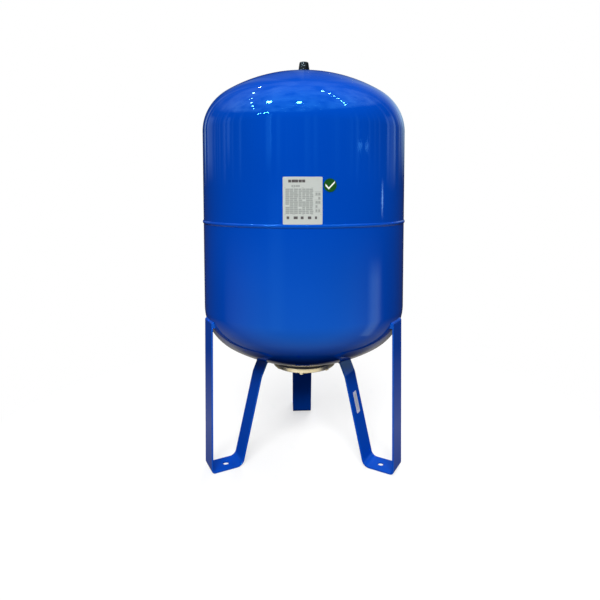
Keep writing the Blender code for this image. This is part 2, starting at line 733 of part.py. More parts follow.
def valve_stem():
    """Brass valve body: screwed shank, hexagon and threaded mouth, bored through."""
    shank = BOSS_BORE_RADIUS - SEAT_GAP
    flats = STEM_HEX_ACROSS_FLATS
    corner = flats / math.sqrt(3)
    bottom = HEAD_TOP_Z - STEM_BELOW_HEAD
    tip = STEM_TIP_CHAMFER
    levels = [
        (bottom, shank - tip, None),
        (bottom + tip, shank, None),
        (STEM_HEX_BOTTOM_Z, shank, None),
        (STEM_HEX_BOTTOM_Z, corner, flats),
        (STEM_HEX_TOP_Z, corner, flats),
        (STEM_HEX_TOP_Z, STEM_RADIUS, None),
        (STEM_TOP_Z - tip, STEM_RADIUS, None),
        (STEM_TOP_Z, STEM_RADIUS - tip, None),
        (STEM_TOP_Z, STEM_BORE_RADIUS, None),
        (bottom, STEM_BORE_RADIUS, None),
    ]
    rings = [round_or_hex_ring(*level, SMALL_SEGMENTS) for level in levels]
    return lofted("valve_stem", rings, closed=True)


def valve_core():
    """Barrel that holds the pin and its spring, under a wider screwed head."""
    head = STEM_BORE_RADIUS - SEAT_GAP
    pin_way = PIN_RADIUS + SEAT_GAP
    floor = CORE_BOTTOM_Z + CORE_FLOOR
    profile = [
        (pin_way, CORE_BOTTOM_Z),
        (CORE_BARREL_RADIUS, CORE_BOTTOM_Z),
        (CORE_BARREL_RADIUS, CORE_SHOULDER_Z),
        (head, CORE_SHOULDER_Z),
        (head, CORE_TOP_Z),
        (pin_way, CORE_TOP_Z),
        (pin_way, CORE_SHOULDER_Z),
        (CORE_BORE_RADIUS, CORE_SHOULDER_Z),
        (CORE_BORE_RADIUS, floor),
        (pin_way, floor),
    ]
    return turned("valve_core", profile, STUD_SEGMENTS)


def pin_collar_z():
    """Underside of the pin's collar, held up against the core's head."""
    return CORE_SHOULDER_Z - SEAT_GAP - PIN_COLLAR_HEIGHT


def valve_pin():
    poppet_top = CORE_BOTTOM_Z - SEAT_GAP
    poppet_r = CORE_BARREL_RADIUS - PIN_POPPET_INSET
    collar = pin_collar_z()
    collar_r = CORE_BORE_RADIUS - PIN_COLLAR_CLEARANCE
    profile = [
        (0.0, poppet_top - PIN_POPPET_HEIGHT),
        (poppet_r, poppet_top - PIN_POPPET_HEIGHT),
        (poppet_r, poppet_top),
        (PIN_RADIUS, poppet_top),
        (PIN_RADIUS, collar),
        (collar_r, collar),
        (collar_r, collar + PIN_COLLAR_HEIGHT),
        (PIN_RADIUS, collar + PIN_COLLAR_HEIGHT),
        (PIN_RADIUS, CORE_TOP_Z + PIN_ABOVE_CORE),
        (0.0, CORE_TOP_Z + PIN_ABOVE_CORE),
    ]
    return turned("valve_pin", profile, TINY_SEGMENTS, closed=False)


def valve_spring():
    """Round wire coiled between the core's floor and the pin's collar."""
    margin = SEAT_GAP + SPRING_WIRE_RADIUS
    low = CORE_BOTTOM_Z + CORE_FLOOR + margin
    high = pin_collar_z() - margin
    count = SPRING_TURNS * COIL_STEPS_PER_TURN
    rings = []
    for i in range(count + 1):
        turn = math.tau * i / COIL_STEPS_PER_TURN
        radial = Vector((math.cos(turn), math.sin(turn), 0.0))
        centre = radial * SPRING_COIL_RADIUS
        centre.z = low + (high - low) * i / count
        ring = []
        for k in range(WIRE_SIDES):
            angle = math.tau * k / WIRE_SIDES
            around = radial * math.cos(angle) + Vector((0.0, 0.0, math.sin(angle)))
            ring.append(centre + around * SPRING_WIRE_RADIUS)
        rings.append(ring)
    return lofted("valve_spring", rings)


def valve_cap():
    """Tapered plastic cap, hollow and open below, pushed down over the valve."""
    taper = (CAP_BASE_RADIUS - CAP_TOP_RADIUS) / (CAP_TOP_Z - CAP_BOTTOM_Z)
    ceiling = CAP_TOP_Z - CAP_WALL
    inner_top = CAP_TOP_RADIUS + taper * CAP_WALL - CAP_WALL
    edge = arc_points(
        (CAP_TOP_RADIUS - CAP_EDGE_ROUND, CAP_TOP_Z - CAP_EDGE_ROUND),
        CAP_EDGE_ROUND,
        0.0,
        math.pi / 2,
        CORNER_STEPS,
    )
    profile = [(0.0, ceiling), (inner_top, ceiling)]
    profile += [(CAP_BASE_RADIUS - CAP_WALL, CAP_BOTTOM_Z)]
    profile += [(CAP_BASE_RADIUS, CAP_BOTTOM_Z)]
    profile += edge + [(0.0, CAP_TOP_Z)]
    return turned("valve_cap", profile, PORT_SEGMENTS, closed=False)


def rounded_columns(width, height, corner, flat_steps):
    """Half widths and half heights across a rounded rectangle, left to right."""
    left = []
    for i in range(CORNER_STEPS + 1):
        angle = math.pi / 2 * i / CORNER_STEPS
        across = -width / 2 + corner * (1 - math.cos(angle))
        left.append((across, height / 2 - corner * (1 - math.sin(angle))))
    inner_left, inner_right = left[-1][0], -left[-1][0]
    middle = [
        (inner_left + (inner_right - inner_left) * i / flat_steps, height / 2)
        for i in range(1, flat_steps)
    ]
    right = [(-across, tall) for across, tall in reversed(left)]
    return left + middle + right


def thin_sheet(name, columns, thickness, to_space):
    """Sheet whose outline is given by columns, carried into space by a rule."""
    rings = []
    for across, tall in columns:
        rings.append(
            [
                to_space(across, -tall, 0.0),
                to_space(across, tall, 0.0),
                to_space(across, tall, thickness),
                to_space(across, -tall, thickness),
            ]
        )
    return lofted(name, rings)


def on_shell(azimuth, middle_z):
    """Rule that wraps (across, up, out) onto the cylinder at an azimuth."""

    def to_space(across, up, out):
        angle = math.radians(azimuth) + across / SHELL_RADIUS
        radius = SHEET_BACK_RADIUS + out
        return (radius * math.sin(angle), -radius * math.cos(angle), middle_z + up)

    return to_space


def rating_label():
    columns = rounded_columns(LABEL_WIDTH, LABEL_HEIGHT, LABEL_CORNER, LABEL_STEPS)
    rule = on_shell(LABEL_AZIMUTH, LABEL_BOTTOM_Z + LABEL_HEIGHT / 2)
    return thin_sheet("rating_label", columns, LABEL_THICKNESS, rule)


def check_sticker():
    """Round sticker beside the rating label."""
    across = LABEL_WIDTH / 2 + DISC_BESIDE_LABEL + DISC_RADIUS
    azimuth = LABEL_AZIMUTH + math.degrees(across / SHELL_RADIUS)
    middle_z = LABEL_BOTTOM_Z + LABEL_HEIGHT - DISC_BELOW_LABEL_TOP
    size = DISC_RADIUS * 2
    corner = DISC_RADIUS - DISC_END_FLAT / 2
    columns = rounded_columns(size, size, corner, STICKER_STEPS)
    rule = on_shell(azimuth, middle_z)
    return thin_sheet("check_sticker", columns, LABEL_THICKNESS, rule)


def leg_sticker():
    """Small sticker on the outward face of a leg's leaning inner strap."""
    foot, kink = leg_corners()[2:4]
    rise = (kink - foot).normalized()
    spot = foot + rise * ((LEG_STICKER_Z - foot.y) / rise.y)
    up_strap = Vector((rise.x, 0.0, rise.y))
    outward = Vector((rise.y, 0.0, -rise.x))
    middle = Vector((spot.x, 0.0, spot.y))

    def to_space(across, up, out):
        depth = STRAP_THICKNESS / 2 + SEAT_GAP + out
        return middle + up_strap * up + outward * depth + Vector((0, across, 0))

    columns = rounded_columns(
        LEG_STICKER_WIDTH, LEG_STICKER_HEIGHT, LEG_STICKER_CORNER, STICKER_STEPS
    )
    return thin_sheet("leg_sticker", columns, LABEL_THICKNESS, to_space)


def make_cutter(name, spots, radius, low, high, segments, parent=None):
    """Hidden upright cylinders, used only to cut round holes."""
    bm = bmesh.new()
    for x, y in spots:
        bmesh.ops.create_cone(
            bm,
            cap_ends=True,
            segments=segments,
            radius1=radius,
            radius2=radius,
            depth=high - low,
            matrix=Matrix.Translation((x, y, (low + high) / 2)),
        )
    cutter = place(name, finish_mesh(name, bm), parent=parent)
    cutter.hide_render = True
    cutter.display_type = "WIRE"
    return cutter


def cut(item, cutter):
    boolean = item.modifiers.new("holes", "BOOLEAN")
    boolean.operation = "DIFFERENCE"
    boolean.solver = "EXACT"
    boolean.object = cutter


def round_edges(item, width):
    bevel = item.modifiers.new("rolled_edges", "BEVEL")
    bevel.width = width
    bevel.segments = 1
    bevel.limit_method = "ANGLE"
    bevel.angle_limit = SHARP_ANGLE


def azimuth_turn(azimuth):
    """Rotation about Z that carries +X to an azimuth counted from the front."""
    return math.radians(azimuth - 90.0)


def stud_azimuths():
    return [STUD_FIRST_AZIMUTH + 360.0 / STUD_COUNT * i for i in range(STUD_COUNT)]


def build_vessel(blue):
    place("upper_shell", upper_shell(), blue)
    place("lower_shell", lower_shell(), blue)
    place("girth_weld", girth_weld(), blue)


def build_legs(blue, paper):
    bar, outer_weld, inner_weld = leg_bar(), outer_leg_weld(), inner_leg_weld()
    hole_r = outer_corner_radius(leg_top_radius()) - FOOT_HOLE_FROM_OUTER_BEND
    for side, azimuth in LEG_AZIMUTHS.items():
        frame = bpy.data.objects.new(f"leg_{side}_frame", None)
        frame.rotation_euler.z = azimuth_turn(azimuth)
        bpy.context.scene.collection.objects.link(frame)
        leg = place_shared(f"leg_{side}", bar, blue, parent=frame)
        round_edges(leg, STRAP_EDGE_ROUND)
        hole = make_cutter(
            f"leg_{side}_hole_cutter",
            [(hole_r, 0.0)],
            FOOT_HOLE_RADIUS,
            -STRAP_THICKNESS,
            STRAP_THICKNESS * 2,
            SMALL_SEGMENTS,
            frame,
        )
        cut(leg, hole)
        place_shared(f"leg_{side}_outer_weld", outer_weld, blue, parent=frame)
        place_shared(f"leg_{side}_inner_weld", inner_weld, blue, parent=frame)
        if side == "front_right":
            place("leg_sticker", leg_sticker(), paper, parent=frame)


def build_bottom_flange(blue, zinc, rubber):
    place("neck_ring", neck_ring(), blue)
    place("neck_weld", neck_weld(), blue)
    spots = []
    for azimuth in stud_azimuths():
        turn = azimuth_turn(azimuth)
        spots.append(
            (STUD_CIRCLE_RADIUS * math.cos(turn), STUD_CIRCLE_RADIUS * math.sin(turn))
        )
    cutter = make_cutter(
        "stud_hole_cutter",
        spots,
        STUD_HOLE_RADIUS,
        FLANGE_BOTTOM_Z - COUNTER_FLANGE_THICKNESS,
        NECK_RING_BOTTOM_Z + LIP_THICKNESS,
        STUD_SEGMENTS,
    )
    cut(place("membrane", membrane(), rubber), cutter)
    cut(place("counter_flange", counter_flange(), zinc), cutter)
    place("port_socket", port_socket(), zinc)
    place("port_weld", port_weld(), zinc)
    stud, nut = stud_mesh(), nut_mesh()
    for number, (x, y) in enumerate(spots, start=1):
        for name, mesh in ((f"flange_stud_{number}", stud), (f"flange_nut_{number}", nut)):
            item = place_shared(name, mesh, zinc, origin=(x, y, 0.0))
            item.rotation_euler.z = math.atan2(y, x)


def build_valve(blue, brass, steel, rubber, black):
    place("valve_boss", valve_boss(), blue)
    place("valve_boss_weld", valve_boss_weld(), blue)
    place("valve_seal", valve_seal(), rubber)
    place("valve_stem", valve_stem(), brass)
    place("valve_core", valve_core(), brass)
    place("valve_spring", valve_spring(), steel)
    place("valve_pin", valve_pin(), brass, origin=(0.0, 0.0, CORE_TOP_Z))
    place("valve_cap", valve_cap(), black, origin=(0.0, 0.0, CAP_BOTTOM_Z))


def main():
    clear_scene()
    blue = make_material("blue_enamel", (0.0, 0.065, 0.50), 0.18, 0.0)
    zinc = make_material("yellow_zinc", (0.78, 0.70, 0.42), 0.35, 1.0)
    steel = make_material("spring_steel", (0.55, 0.55, 0.56), 0.30, 1.0)
    brass = make_material("brass", (0.75, 0.55, 0.22), 0.28, 1.0)
    rubber = make_material("black_rubber", (0.012, 0.012, 0.013), 0.75, 0.0)
    black = make_material("black_plastic", (0.010, 0.010, 0.011), 0.22, 0.0)
    silver = make_material("silver_film", (0.42, 0.44, 0.42), 0.38, 0.3)
    green = make_material("green_film", (0.0, 0.09, 0.012), 0.35, 0.0)
    paper = make_material("white_paper", (0.60, 0.60, 0.62), 0.55, 0.0)
    build_vessel(blue)
    build_legs(blue, paper)
    build_bottom_flange(blue, zinc, rubber)
    build_valve(blue, brass, steel, rubber, black)
    place("rating_label", rating_label(), silver)
    place("check_sticker", check_sticker(), green)


main()
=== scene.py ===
"""Finished look of a vertical well pressure tank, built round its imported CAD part.

It is laid out as an add-on: sizes and colours are property groups, each piece
or group of like pieces has its operator, and the panel lists them in order.
Units are metres, +Z is up, the floor is Z = 0, the tank's axis is the Z axis
and the front, with the rating plate, faces -Y.
"""

import functools
import math
from typing import NamedTuple

import bmesh
import bpy
import numpy as np
from bpy.props import FloatProperty, FloatVectorProperty, IntProperty, PointerProperty
from mathutils import Matrix, Vector


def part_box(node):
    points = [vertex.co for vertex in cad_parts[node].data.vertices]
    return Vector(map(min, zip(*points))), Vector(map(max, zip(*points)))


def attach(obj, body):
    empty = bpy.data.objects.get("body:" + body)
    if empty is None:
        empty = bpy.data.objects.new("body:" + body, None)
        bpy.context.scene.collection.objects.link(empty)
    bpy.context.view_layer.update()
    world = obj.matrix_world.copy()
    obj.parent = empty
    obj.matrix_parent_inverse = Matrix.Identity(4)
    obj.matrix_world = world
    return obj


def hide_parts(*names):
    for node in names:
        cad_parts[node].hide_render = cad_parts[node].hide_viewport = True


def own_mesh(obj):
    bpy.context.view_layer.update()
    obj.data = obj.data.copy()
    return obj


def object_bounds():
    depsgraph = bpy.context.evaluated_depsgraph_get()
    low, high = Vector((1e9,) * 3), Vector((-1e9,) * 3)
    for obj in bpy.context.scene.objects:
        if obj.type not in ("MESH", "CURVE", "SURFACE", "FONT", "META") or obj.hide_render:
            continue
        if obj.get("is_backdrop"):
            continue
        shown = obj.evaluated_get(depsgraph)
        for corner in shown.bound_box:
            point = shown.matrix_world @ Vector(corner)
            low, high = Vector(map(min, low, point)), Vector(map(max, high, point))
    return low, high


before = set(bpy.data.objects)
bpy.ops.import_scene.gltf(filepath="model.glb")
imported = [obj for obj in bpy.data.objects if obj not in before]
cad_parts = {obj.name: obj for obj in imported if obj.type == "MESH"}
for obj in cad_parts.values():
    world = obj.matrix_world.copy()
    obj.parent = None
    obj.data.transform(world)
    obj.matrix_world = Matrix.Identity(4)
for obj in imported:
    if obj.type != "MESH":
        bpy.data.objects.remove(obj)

bl_info = {
    "name": "Well Pressure Tank",
    "version": (1, 0, 0),
    "blender": (4, 5, 0),
    "location": "View3D > Sidebar > Tank",
    "description": "Builds the finished pieces of a well pressure tank on its CAD frame",
    "category": "Object",
}

CAD_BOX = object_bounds()

# Gap that touching pieces keep, as in the CAD part
SEAT_GAP = 0.0003

# Facet counts
ROUND_SEGMENTS = 256
RING_SEGMENTS = 144
SMALL_SEGMENTS = 96
HEX_SEGMENTS = 72
HEAD_ARC_STEPS = 28
EDGE_STEPS = 4
BEND_STEPS = 18
STEPS_PER_THREAD = 10
SAMPLES_PER_RIPPLE = 5
ROLLED_STEPS = 3
DISC_STEPS = 48
STROKE_STEPS = 6
# Points along a printed bar, so that it follows the cylinder
BAR_POINTS = 5

MERGE_DISTANCE = 1e-6
SHARP_ANGLE = math.radians(32)
SOFT_CORNER = math.radians(20)
TOUCH_REPEATS = 40

# Share of a side that the rounding of its corner may take up
EASE_SHARE = 0.45
# Over one, this flattens the crests and roots of threads and ripples
WAVE_GAIN = 1.3
# Ripples that a weld's face shows across one ripple pitch, so that they lean
RIPPLE_LEAN = 0.35
# How far a weld's face bulges, as a share of its two legs
WELD_SWELL = 0.64
# Round face of a nut or hexagon, as a share of its inner radius
NUT_FACE = 0.97
NUT_CHAMFER = math.tan(math.radians(30))
# Plain stretch under the joggle, as a share of its slope
JOGGLE_FOOT = 0.25
# Length of the foot hole's drill, in thicknesses of the bar
DRILL_LENGTH = 4

MM = 0.001
MICRON = 0.000001


def linear(code):
    """Linear RGB of an sRGB hex colour."""
    channels = [int(code[i : i + 2], 16) / 255 for i in (1, 3, 5)]
    return tuple(
        c / 12.92 if c <= 0.04045 else ((c + 0.055) / 1.055) ** 2.4 for c in channels
    )


def length(name, default, description):
    return FloatProperty(
        name=name, description=description, default=default, unit="LENGTH", precision=5
    )


def angle(name, degrees, description):
    return FloatProperty(
        name=name,
        description=description,
        default=math.radians(degrees),
        subtype="ANGLE",
    )


def colour(name, code, description):
    return FloatVectorProperty(
        name=name,
        description=description,
        default=linear(code),
        subtype="COLOR",
        size=3,
        min=0.0,
        max=1.0,
    )


def level(name, default, description):
    return FloatProperty(name=name, description=description, default=default)


def node_radius(node):
    """Largest distance of a round CAD node from the tank's axis, along X."""
    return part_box(node)[1].x


class TankVesselSizes(bpy.types.PropertyGroup):
    """Sizes of the two deep drawn halves and their girth weld"""

    radius: length("Radius", node_radius("upper_shell"), "Outside of the cylinder")
    wall: length("Wall", 0.0015, "Steel thickness")
    knuckle: length("Knuckle", 0.098, "Radius between the cylinder and a head")
    crown: length("Crown", 0.337, "Dishing radius of a head")
    lower_tangent: length("Lower tangent", 0.340, "Height where the lower head ends")
    upper_tangent: length("Upper tangent", 0.722, "Height where the upper head starts")
    seam: length("Seam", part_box("upper_shell")[0].z, "Height of the upper half's rim")
    rim_top: length("Rim top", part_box("lower_shell")[1].z, "Top of the joggled rim")
    joggle_below: length("Joggle below", 0.0014, "Top of the joggle's slope under the seam")
    joggle_height: length("Joggle height", 0.0040, "Height of the joggle's slope")
    bead_radius: length("Bead", node_radius("girth_weld"), "Outside of the girth bead")
    bead_top: length("Bead top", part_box("girth_weld")[1].z, "Upper edge of the bead")
    bead_bottom: length("Bead foot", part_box("girth_weld")[0].z, "Lower edge of the bead")
    ripple_pitch: length("Ripple pitch", 0.0018, "Spacing of the weld's ripples")
    ripple_depth: length("Ripple depth", 0.00016, "Depth of the weld's ripples")


class TankLegSizes(bpy.types.PropertyGroup):
    """Sizes of the three bent legs"""

    width: length("Strap width", 0.048, "Width of the flat bar")
    thickness: length("Strap thickness", 0.0035, "Thickness of the flat bar")
    edge_round: length("Rolled edge", 0.0006, "Rounding of the bar's edges")
    square_edge: angle("Square edge", 40.0, "Turn past which an edge of the bar is rounded")
    top: length("Leg top", 0.320, "Height of the outer strap's end")
    splay: angle("Splay", 0.54, "Outward lean of the outer strap")
    foot: length("Foot length", 0.0659, "Centre line of the foot between its bends")
    kink_radius: length("Kink place", 0.1172, "Distance of the kink from the axis")
    kink_height: length("Kink height", 0.188, "Height of the kink")
    end_lean: angle("End lean", 24.0, "Inward lean of the strap's last stretch")
    outer_bend: length("Outer bend", 0.0070, "Radius of the outer bend")
    inner_bend: length("Inner bend", 0.0160, "Radius of the inner bend")
    kink_bend: length("Kink bend", 0.0400, "Radius of the kink's bend")
    hole_radius: length("Foot hole", 0.0062, "Radius of the floor bolt's hole")
    hole_inset: length("Hole place", 0.0362, "Hole's distance inside the outer bend")
    weld_size: length("Weld size", 0.0035, "Leg of the fillet welds")
    weld_run: length("Weld run", 0.009, "Length of the outer weld down each side")


class TankFlangeSizes(bpy.types.PropertyGroup):
    """Sizes of the bottom flange, the bag's lip and the water port"""

    hole_radius: length("Opening", 0.050, "Radius of the lower head's opening")
    ring_radius: length("Ring", node_radius("neck_ring"), "Outside of the neck ring")
    weld_size: length("Ring weld", 0.0022, "Leg of the ring's fillet weld")
    lip_height: length("Lip upstand", 0.0026, "Height of the lip round the ring")
    lip_thickness: length("Lip", 0.0025, "Thickness of the clamped lip")
    port_bore: length("Port bore", 0.0152, "Inner radius of the port's thread")
    port_wall: length("Port wall", 0.0055, "Wall of the port")
    port_pitch: length("Port thread", 0.002309, "Pitch of the 1 inch pipe thread")
    port_depth: length("Port thread depth", 0.0011, "Depth of the port's thread")
    port_weld: length("Port weld", 0.0035, "Leg of the port's fillet weld")
    studs: IntProperty(name="Studs", description="Number of studs", default=6)
    stud_azimuth: angle("First stud", -66.0, "Azimuth of the first stud from the front")
    stud_circle: length("Stud circle", 0.0610, "Radius of the circle of studs")
    stud_radius: length("Stud", 0.0030, "Radius of a stud")
    stud_clearance: length("Stud clearance", 0.0006, "Gap round a stud in its hole")
    stud_pitch: length("Stud thread", 0.0010, "Pitch of the stud's thread")
    stud_depth: length("Stud thread depth", 0.0005, "Depth of the stud's thread")
    nut_flats: length("Nut", 0.0100, "Width of a nut across its flats")


class TankValveSizes(bpy.types.PropertyGroup):
    """Sizes of the air valve and its cap"""

    boss_bore: length("Boss bore", 0.0055, "Inner radius of the welded boss")
    boss_wall: length("Boss wall", 0.0035, "Wall of the welded boss")
    boss_weld: length("Boss weld", 0.0020, "Leg of the boss's fillet weld")
    stem_flats: length("Hexagon", 0.0140, "Width of the hexagon across its flats")
    stem_hex: length("Hexagon height", 0.0040, "Height of the hexagon")
    stem_bore: length("Stem bore", 0.00265, "Inner radius of the valve's mouth")
    stem_wall: length("Stem wall", 0.0012, "Wall of the valve's mouth")
    stem_pitch: length("Stem thread", 0.00079, "Pitch of the mouth's thread")
    stem_depth: length("Stem thread depth", 0.00035, "Depth of the mouth's thread")
    core_head: length("Core head", 0.0040, "Height of the core's screwed head")
    core_barrel: length("Core barrel", 0.0019, "Radius of the core's barrel")
    core_wall: length("Core wall", 0.0005, "Wall of the core's barrel")
    core_floor: length("Core floor", 0.0010, "Floor of the core's barrel")
    pin_radius: length("Pin", 0.00045, "Radius of the pin")
    wire_radius: length("Wire", 0.00014, "Radius of the spring's wire")
    turns: IntProperty(name="Turns", description="Turns of the spring", default=5)
    cap_wall: length("Cap wall", 0.0014, "Wall of the plastic cap")
    cap_top: length("Cap top", 0.0100, "Radius of the cap's top")
    cap_edge: length("Cap edge", 0.0014, "Rounding of the cap's top edge")


class TankLabelSizes(bpy.types.PropertyGroup):
    """Sizes of the rating plate and the two stickers"""

    azimuth: angle("Azimuth", -0.7, "Azimuth of the plate from the front")
    width: length("Plate width", 0.0729, "Width of the rating plate")
    height: length("Plate height", 0.0874, "Height of the rating plate")
    corner: length("Corner", 0.0020, "Corner radius of the rating plate")
    thickness: length("Film", 0.0003, "Thickness of the plate and stickers")
    disc: length("Disc", 0.0125, "Radius of the round sticker")
    disc_gap: length("Disc gap", 0.0020, "Gap between the plate and the round sticker")
    disc_drop: length("Disc drop", 0.0153, "Disc's middle below the plate's top")
    leg_width: length("Leg sticker", 0.015, "Width of the sticker on the leg")
    leg_height: length("Leg sticker height", 0.046, "Height of the sticker on the leg")
    leg_place: length("Leg sticker place", 0.128, "Height of the leg sticker's middle")


class TankFinishes(bpy.types.PropertyGroup):
    """Colours of the finishes"""

    enamel: colour("Enamel", "#0046B8", "Stoved enamel of the vessel and legs")
    enamel_shine: colour("Enamel shine", "#54C2FF", "Tint of the enamel's reflection")
    zinc: colour("Zinc", "#F3EBD0", "Yellow passivated zinc plating")
    zinc_tint: colour("Zinc tint", "#E6DBB4", "Deeper patches of the passivation")
    rubber: colour("Rubber", "#141414", "Butyl rubber of the bag")
    brass: colour("Brass", "#C9A35A", "Turned brass")
    steel: colour("Spring steel", "#B9BBBE", "Drawn spring wire")
    plastic: colour("Plastic", "#0B0B0C", "Moulded cap")
    film: colour("Plate film", "#C4C9C5", "Silver polyester film")
    green: colour("Green film", "#07460B", "Printed green vinyl")
    paper: colour("Paper", "#C9C9DA", "Coated paper")
    ink: colour("Ink", "#4E4A4B", "Dark print")
    pale_ink: colour("Pale ink", "#989D9A", "Fine print, which reads as grey")
    white_ink: colour("White ink", "#EDF2EC", "White print")


class TankStage(bpy.types.PropertyGroup):
    """Camera and light"""

    lens: level("Lens", 28.98, "Focal length in millimetres")
    shift_x: level("Shift across", -0.023, "Sideways shift of the lens")
    shift_y: level("Shift up", -0.1279, "Upward shift of the lens")
    camera_height: length("Camera height", 0.5866, "Height of the camera")
    camera_distance: length("Camera distance", 1.1080, "Distance from the axis")
    pitch: angle("Pitch", 3.4377, "Downward tilt of the camera")
    yaw: angle("Yaw", 1.1459, "Turn of the camera to the right")
    fill: level("Fill", 0.60, "Strength of the even fill")
    dim: level("Dim", 0.03, "Least brightness in the gloss")
    ceiling: level("Ceiling", 1.7, "Brightness of the ceiling in the gloss")
    shoulder: level("Shoulder", 0.9, "Brightness of what the dome's shoulder mirrors")
    wall: level("Wall", 0.8, "Brightness of the far wall in the gloss")
    far_floor: level("Far floor", 1.6, "Brightness of the far floor in the gloss")
    near_floor: level("Near floor", 0.55, "Brightness of the near floor in the gloss")
    lamp: level("Lamps", 300.0, "Brightness of the lamps in the gloss")
    gloss_tint: colour("Gloss tint", "#CDEEFF", "Colour of what the gloss mirrors")
    floor_tint: colour("Floor tint", "#FFF8EC", "Colour of the floor in the gloss")


GROUPS = {
    "tank_vessel": TankVesselSizes,
    "tank_legs": TankLegSizes,
    "tank_flange": TankFlangeSizes,
    "tank_valve": TankValveSizes,
    "tank_labels": TankLabelSizes,
    "tank_finishes": TankFinishes,
    "tank_stage": TankStage,
}


def settings(name):
    return getattr(bpy.context.scene, name)


# Node trees

MATH = "ShaderNodeMath"
SPLIT = "ShaderNodeSeparateXYZ"
JOIN = "ShaderNodeCombineXYZ"
VECTOR = "ShaderNodeVectorMath"
RANGE = "ShaderNodeMapRange"
MIX = "ShaderNodeMix"


def open_socket(sockets, key):
    """A node's socket by place or by name, passing over the unused ones."""
    if isinstance(key, int):
        return sockets[key]
    return next(s for s in sockets if s.name == key and s.enabled)


def add_node(tree, kind, *values, inputs=None, output=0, **options):
    """Add a node, set its options and inputs, and return one of its outputs.

    The values go into its first sockets in order, and inputs names others.
    """
    node = tree.nodes.new(kind)
    for option, value in options.items():
        setattr(node, option, value)
    for key, value in (*enumerate(values), *(inputs or {}).items()):
        socket = open_socket(node.inputs, key)
        if isinstance(value, bpy.types.NodeSocket):
            tree.links.new(value, socket)
        else:
            socket.default_value = value
    return open_socket(node.outputs, output) if len(node.outputs) else node


def new_tree(name, counts, sizes):
    """Geometry Nodes tree with inputs for a piece, counts, sizes and a material."""
    tree = bpy.data.node_groups.new(name, "GeometryNodeTree")
    kinds = {"Geometry": "Geometry"}
    kinds.update(dict.fromkeys(counts, "Int"))
    kinds.update(dict.fromkeys(sizes, "Float"))
    kinds["Material"] = "Material"
    for label, kind in kinds.items():
        tree.interface.new_socket(label, in_out="INPUT", socket_type=f"NodeSocket{kind}")
    tree.interface.new_socket("Geometry", in_out="OUTPUT", socket_type="NodeSocketGeometry")
    return tree, tree.nodes.new("NodeGroupInput").outputs


def close_tree(tree, given, geometry):
    """End a tree in plain geometry that carries its material."""
    whole = add_node(tree, "GeometryNodeRealizeInstances", geometry)
    inputs = {"Material": given["Material"]}
    painted = add_node(tree, "GeometryNodeSetMaterial", whole, inputs=inputs)
    add_node(tree, "NodeGroupOutput", painted)
    return tree


def grow(name, mesh, tree_name, values, material):
    """Run a node tree on a mesh and return the result as a plain mesh object."""
    item = new_object(name, mesh)
    tree = bpy.data.node_groups.get(tree_name) or TREE_MAKERS[tree_name](tree_name)
    modifier = item.modifiers.new(name, "NODES")
    modifier.node_group = tree
    inputs = [s for s in tree.interface.items_tree if s.in_out == "INPUT"]
    sockets = {s.name: s.identifier for s in inputs}
    for label, value in {**values, "Material": material}.items():
        modifier[sockets[label]] = value
    bake_modifiers(item)
    item.data.materials.clear()
    item.data.materials.append(material)
    item.data.polygons.foreach_set("material_index", [0] * len(item.data.polygons))
    dress_mesh(item.data)
    return item


def bake_modifiers(item):
    """Put an object's modifier results into its mesh and take them off."""
    depsgraph = bpy.context.evaluated_depsgraph_get()
    depsgraph.update()
    result = bpy.data.meshes.new_from_object(
        item.evaluated_get(depsgraph), preserve_all_data_layers=True, depsgraph=depsgraph
    )
    item.modifiers.clear()
    item.data = result
    result.name = item.name


def new_object(name, mesh):
    item = bpy.data.objects.new(name, mesh)
    bpy.context.scene.collection.objects.link(item)
    return item


